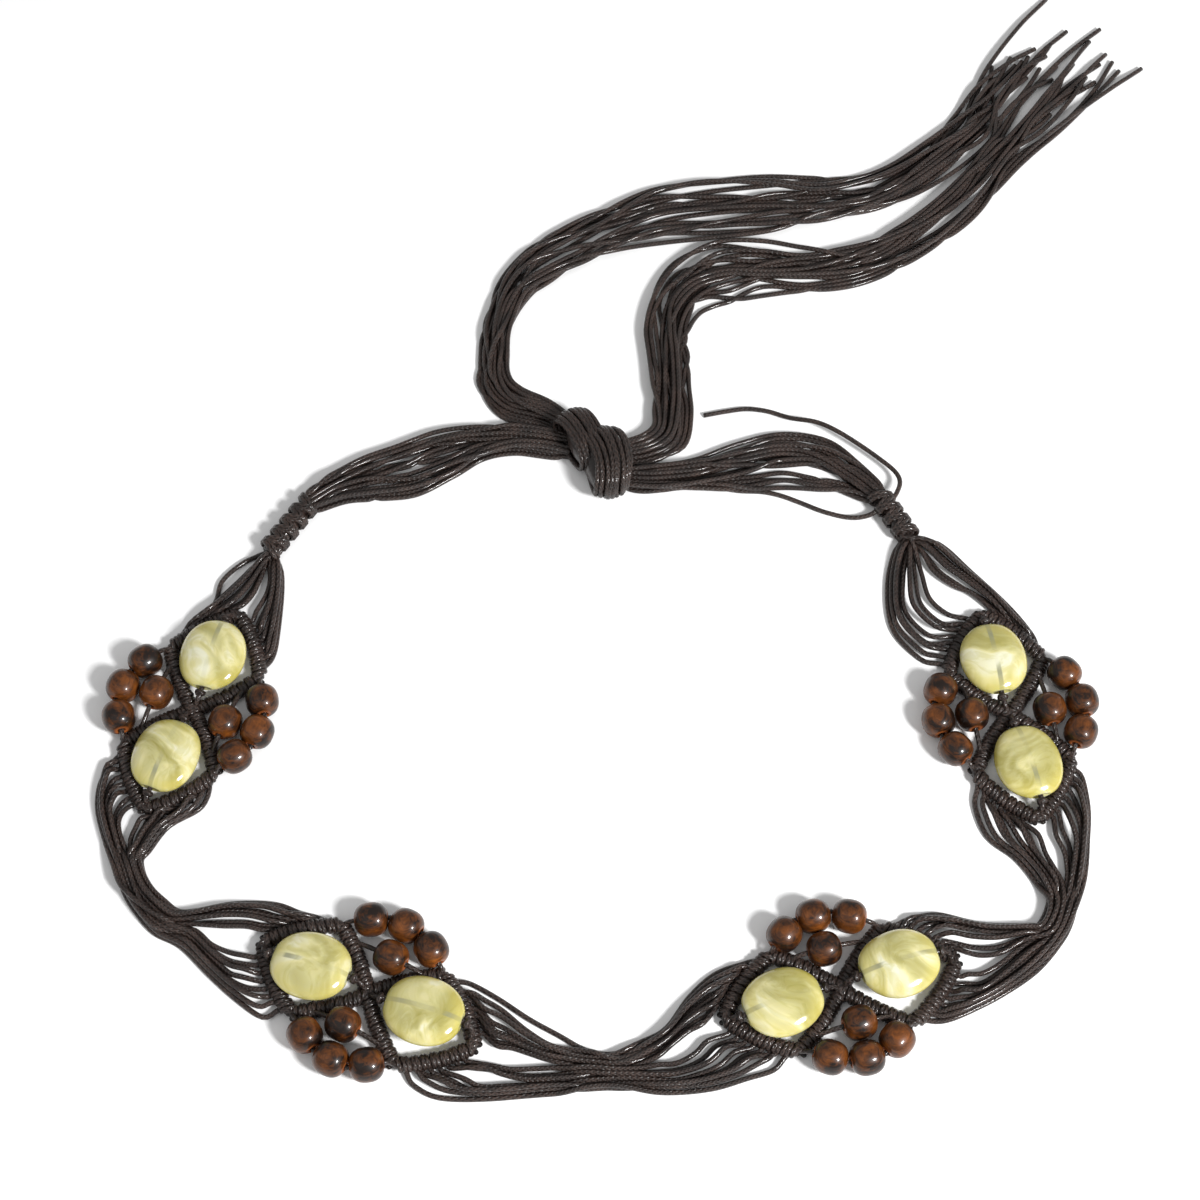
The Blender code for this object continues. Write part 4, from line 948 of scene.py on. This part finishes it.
def cord_bundle(name, seed):
    """The sixteen cords of a span, relaxed into a loose bundle."""
    layout = SPANS[name]
    rng = np.random.RandomState(seed)
    start_rank = np.arange(CORDS)
    end_rank = shuffled_rank(CORDS, layout["mixing"], rng)
    looseness = 0.8 if name.startswith("back") else 0.0
    slots, across = bundle_slots(layout["gathers"], CORDS, start_rank, end_rank, rng, looseness)
    routes = [list(slots[cord]) for cord in range(CORDS)]
    for index, end in ((0, layout["start"]), (-1, layout["end"])):
        if end is None:
            continue
        fan = fan_end(end)
        ranks = start_rank if index == 0 else end_rank
        edge = slots[np.argmin(ranks), index]
        if np.linalg.norm(edge - fan[-1][-1]) < np.linalg.norm(edge - fan[0][-1]):
            fan = fan[::-1]
        for cord in range(CORDS):
            if index == 0:
                routes[cord] = fan[ranks[cord]] + routes[cord]
            else:
                routes[cord] += fan[ranks[cord]][::-1]
    mean = np.mean(np.array(routes), axis=0)
    counts = segment_counts(mean, 1.25 * MM)
    cords = np.array([smooth_route(route, counts) for route in routes])
    return relax(cords, 3, 3, rounds=26, weight=0.012)


def tail_bundle(name, seed):
    """The sixteen cords of a tail, parting towards their cut ends."""
    layout = TAILS[name]
    rng = np.random.RandomState(seed)
    ranks = np.arange(CORDS)
    end_rank = shuffled_rank(CORDS, 2.2, rng)
    slots, across = bundle_slots(layout["route"], CORDS, ranks, end_rank, rng, 1.2)
    tips = np.array([place(x, y, 0.8) for x, y in layout["tips"]])
    order = np.argsort([(tip - slots[0, -1]) @ across[-1] + rng.normal(0, 4.0) * MM
                        for tip in tips])
    routes = []
    for cord in range(CORDS):
        tip = tips[order[end_rank[cord]]]
        last = slots[cord, -1]
        bend = across[-1] * rng.normal(0, 1.9) * MM
        first = last + (tip - last) * 0.35 + bend
        second = last + (tip - last) * 0.72 + bend * 0.8
        first[2] = (0.8 + 1.5 * (cord % 3)) * MM
        second[2] = (0.8 + 1.1 * (cord % 3)) * MM
        routes.append(list(slots[cord]) + [first, second, tip])
    mean = np.mean(np.array(routes), axis=0)
    counts = segment_counts(mean, 1.8 * MM)
    cords = np.array([smooth_route(route, counts) for route in routes])
    return relax(cords, 3, 0, rounds=22, weight=0.01)


def bundle_piece(name, cords, slot_name="cord"):
    """All cords of a bundle as one piece that stands for its solid."""
    tubes = [tube_mesh(cord, sizes().cord_diameter, sizes().cord_sides) for cord in cords]
    for path in LOOSE_CORDS.get(name, ()):
        points = [place(*spot) for spot in path]
        route = smooth_route(points, segment_counts(points, 1.2 * MM))
        tubes.append(tube_mesh(route, sizes().cord_diameter, sizes().cord_sides))
    return add_piece(name + "_cords", join_meshes(tubes), build_material("waxed_cord"),
                     slot_name, name)


class BELT_OT_round_beads(bpy.types.Operator):
    """The lacquered wooden beads on the frames' threads"""
    bl_idname = "belt.round_beads"
    bl_label = "Round beads"

    def execute(self, context):
        rng = np.random.RandomState(SEED)
        for name, layout in FRAMES.items():
            for label, centre, axis in bead_places(name):
                spot = Vector(on_frame(name, *centre, sizes().wood_diameter / MM / 2))
                heading = math.atan2(axis[1], axis[0]) + math.radians(layout["heading"])
                shape = round_bead(spot, heading, rng.normal(0, 0.05), rng.uniform(0, 6.28))
                node = f"wood_{name}_bead_{label}"
                add_piece(f"round_bead_{name}_{label}", shape, build_material("stained_wood"),
                          "wood", node)
        return {"FINISHED"}


class BELT_OT_pebbles(bpy.types.Operator):
    """The marbled resin pebbles seated in the frames' diamonds"""
    bl_idname = "belt.pebbles"
    bl_label = "Resin pebbles"

    def execute(self, context):
        for row, (name, layout) in enumerate(FRAMES.items()):
            for number, (centre, turn, height) in enumerate(pebble_places(name), start=1):
                spot = Vector(on_frame(name, *centre, height))
                heading = math.radians(layout["heading"] + turn)
                shape = pebble_shape(spot, heading, SEED + 2 * row + number)
                add_piece(f"resin_pebble_{name}_{number}", shape,
                          build_material("marbled_resin"), "pebble", f"pebble_{name}_{number}")
        return {"FINISHED"}


class BELT_OT_frames(bpy.types.Operator):
    """The knotted bars of each frame, with the threads that carry its beads"""
    bl_idname = "belt.frames"
    bl_label = "Knotted frames"

    def execute(self, context):
        for name in FRAMES:
            add_piece(f"hitched_frame_{name}", join_meshes(frame_meshes(name)),
                      build_material("waxed_cord"), "cord", f"frame_{name}")
        return {"FINISHED"}


class BELT_OT_spans(bpy.types.Operator):
    """The loose cords between frames, collars and knot"""
    bl_idname = "belt.spans"
    bl_label = "Loose spans"

    def execute(self, context):
        for seed, name in enumerate(SPANS):
            bundle_piece(name, cord_bundle(name, SEED + seed))
        return {"FINISHED"}


class BELT_OT_tails(bpy.types.Operator):
    """The long loose tails"""
    bl_idname = "belt.tails"
    bl_label = "Tails"

    def execute(self, context):
        for seed, name in enumerate(TAILS):
            bundle_piece(name, tail_bundle(name, SEED + 20 + seed))
        return {"FINISHED"}


def wrap_loop(centre, heading, reach, height, lift, lean, diameter, bow=0.0):
    """One closed loop of cord round a bundle: reach along its heading, height up, bowed."""
    count = 28
    points = []
    for step in range(count):
        angle = 2 * math.pi * step / count
        c, s = math.cos(angle), math.sin(angle)
        along = reach * math.copysign(abs(c) ** 0.85, c)
        up = height / 2 * math.copysign(abs(s) ** 0.85, s)
        flat = turned((along, lean * up - bow * max(s, 0.0) ** 2), heading)
        points.append(place(centre[0] + flat[0], centre[1] + flat[1],
                            max(diameter / 2, lift + up)))
    return tube_mesh(np.array(points), diameter * MM, 8, closed=True)


class BELT_OT_tie_knot(bpy.types.Operator):
    """The big overhand knot: two wraps of cords over a core"""
    bl_idname = "belt.tie_knot"
    bl_label = "Tie knot"

    def execute(self, context):
        rng = np.random.RandomState(SEED)
        cord = sizes().cord_diameter / MM
        meshes = []
        for wrap in KNOT_WRAPS:
            side = turned((0, 1), wrap["heading"])
            for index in range(wrap["cords"]):
                slot = index - (wrap["cords"] - 1) / 2
                share = slot / (wrap["cords"] / 2)
                shrink = 1 - 0.22 * share * share
                centre = np.array(wrap["centre"]) + side * slot * cord * 0.84
                height = (wrap["height"] - cord) * shrink
                meshes.append(wrap_loop(centre, wrap["heading"] + 3.5 * share + rng.normal(0, 1.5),
                                        wrap["reach"] * (1 - 0.2 * share * share), height,
                                        cord / 2 + (wrap["height"] - cord) / 2,
                                        rng.normal(0, 0.04), cord * 1.05, wrap["bow"]))
        shape = join_meshes(meshes)
        for layout in KNOT_CORES:
            core = bmesh.ops.create_uvsphere(shape, u_segments=32, v_segments=16,
                                             radius=0.5 * MM)
            own = (Matrix.Translation(place(*layout["centre"], layout["height"] / 2 + 0.8))
                   @ Matrix.Rotation(math.radians(layout["heading"]), 4, "Z")
                   @ Matrix.Diagonal((layout["length"], layout["width"], layout["height"], 1)))
            bmesh.ops.transform(shape, matrix=own, verts=core["verts"])
        add_piece("overhand_knot", shape, build_material("waxed_cord"), "cord", "tie_knot")
        return {"FINISHED"}


class BELT_OT_collars(bpy.types.Operator):
    """The square-knot collars, their wraps leaning one way and then the other"""
    bl_idname = "belt.collars"
    bl_label = "Collars"

    def execute(self, context):
        cord = sizes().cord_diameter / MM
        for name, (start, end) in COLLARS.items():
            start, end = np.array(start), np.array(end)
            length = np.linalg.norm(end - start)
            run = unit(end - start)
            heading = math.degrees(math.atan2(run[1], run[0])) + 90
            wraps = round(length / (cord * 1.55))
            meshes = []
            for index in range(wraps):
                lean = 24.0 if index % 2 else -24.0
                middle = start + run * (length * (index + 0.5) / wraps)
                for offset in (-0.42, 0.42):
                    centre = middle + run * offset * cord
                    meshes.append(wrap_loop(centre, heading + lean, 3.6, 5.2, 3.4, 0.0,
                                            cord * 1.05))
            core = [place(*spot, 3.0) for spot in (start, end)]
            meshes.append(tube_mesh(np.array(core), 4.6 * MM, 12))
            add_piece(f"{name}_wraps", join_meshes(meshes), build_material("waxed_cord"),
                      "cord", name)
        return {"FINISHED"}


class BELT_OT_stage(bpy.types.Operator):
    """The pale floor, the soft light from the right and the camera"""
    bl_idname = "belt.stage"
    bl_label = "Stage"

    def execute(self, context):
        scene = context.scene
        shape = bmesh.new()
        bmesh.ops.create_grid(shape, x_segments=1, y_segments=1, size=6.0)
        mesh = bpy.data.meshes.new("floor")
        shape.to_mesh(mesh)
        shape.free()
        floor = bpy.data.objects.new("floor", mesh)
        scene.collection.objects.link(floor)
        nodes = Nodes("pale_floor")
        nodes.set(Base_Color=(*colours().floor, 1), Roughness=0.9, Specular_IOR_Level=0.1)
        mesh.materials.append(nodes.material)
        world = bpy.data.worlds.new("soft_room")
        world.use_nodes = True
        background = world.node_tree.nodes["Background"]
        background.inputs[0].default_value = (1.0, 1.0, 1.0, 1.0)
        background.inputs[1].default_value = 0.50
        scene.world = world
        self.add_light("key", (0.80, -0.78, 0.95), 0.26, 30.0)
        self.add_light("fill", (-0.6, -0.5, 1.2), 1.2, 1.5)
        camera_data = bpy.data.cameras.new("camera")
        camera_data.lens = LENS
        camera_data.sensor_width = 36.0
        camera = bpy.data.objects.new("camera", camera_data)
        scene.collection.objects.link(camera)
        elevation = math.radians(EYE_ELEVATION)
        eye = place(0, -EYE_DISTANCE * math.cos(elevation), EYE_DISTANCE * math.sin(elevation))
        camera.location = eye
        camera.rotation_euler = (math.radians(90) - elevation, 0, 0)
        scene.camera = camera
        scene.view_settings.view_transform = "Standard"
        return {"FINISHED"}

    def add_light(self, name, spot, size, power):
        """A square soft light that faces the belt."""
        data = bpy.data.lights.new(name, "AREA")
        data.shape = "SQUARE"
        data.size = size
        data.energy = power
        light = bpy.data.objects.new(name, data)
        bpy.context.scene.collection.objects.link(light)
        light.location = spot
        direction = Vector(place(0, 0)) - light.location
        light.rotation_euler = direction.to_track_quat("-Z", "Y").to_euler()


STEPS = (BELT_OT_frames, BELT_OT_round_beads, BELT_OT_pebbles, BELT_OT_spans, BELT_OT_collars,
         BELT_OT_tie_knot, BELT_OT_tails, BELT_OT_stage)


class BELT_PT_panel(bpy.types.Panel):
    """The belt's sizes, colours and steps"""
    bl_label = "Beaded cord belt"
    bl_idname = "BELT_PT_panel"
    bl_space_type = "VIEW_3D"
    bl_region_type = "UI"
    bl_category = "Belt"

    def draw(self, context):
        for group in (context.scene.belt_sizes, context.scene.belt_colours):
            for key in group.__annotations__:
                self.layout.prop(group, key)
        for step in STEPS:
            self.layout.operator(step.bl_idname)


CLASSES = (BeltSizes, BeltColours) + STEPS + (BELT_PT_panel,)


def register():
    for item in CLASSES:
        bpy.utils.register_class(item)
    bpy.types.Scene.belt_sizes = PointerProperty(type=BeltSizes)
    bpy.types.Scene.belt_colours = PointerProperty(type=BeltColours)


def unregister():
    del bpy.types.Scene.belt_colours
    del bpy.types.Scene.belt_sizes
    for item in reversed(CLASSES):
        bpy.utils.unregister_class(item)


def main():
    register()
    for step in STEPS:
        group, name = step.bl_idname.split(".")
        getattr(getattr(bpy.ops, group), name)()


if __name__ == "__main__":
    main()
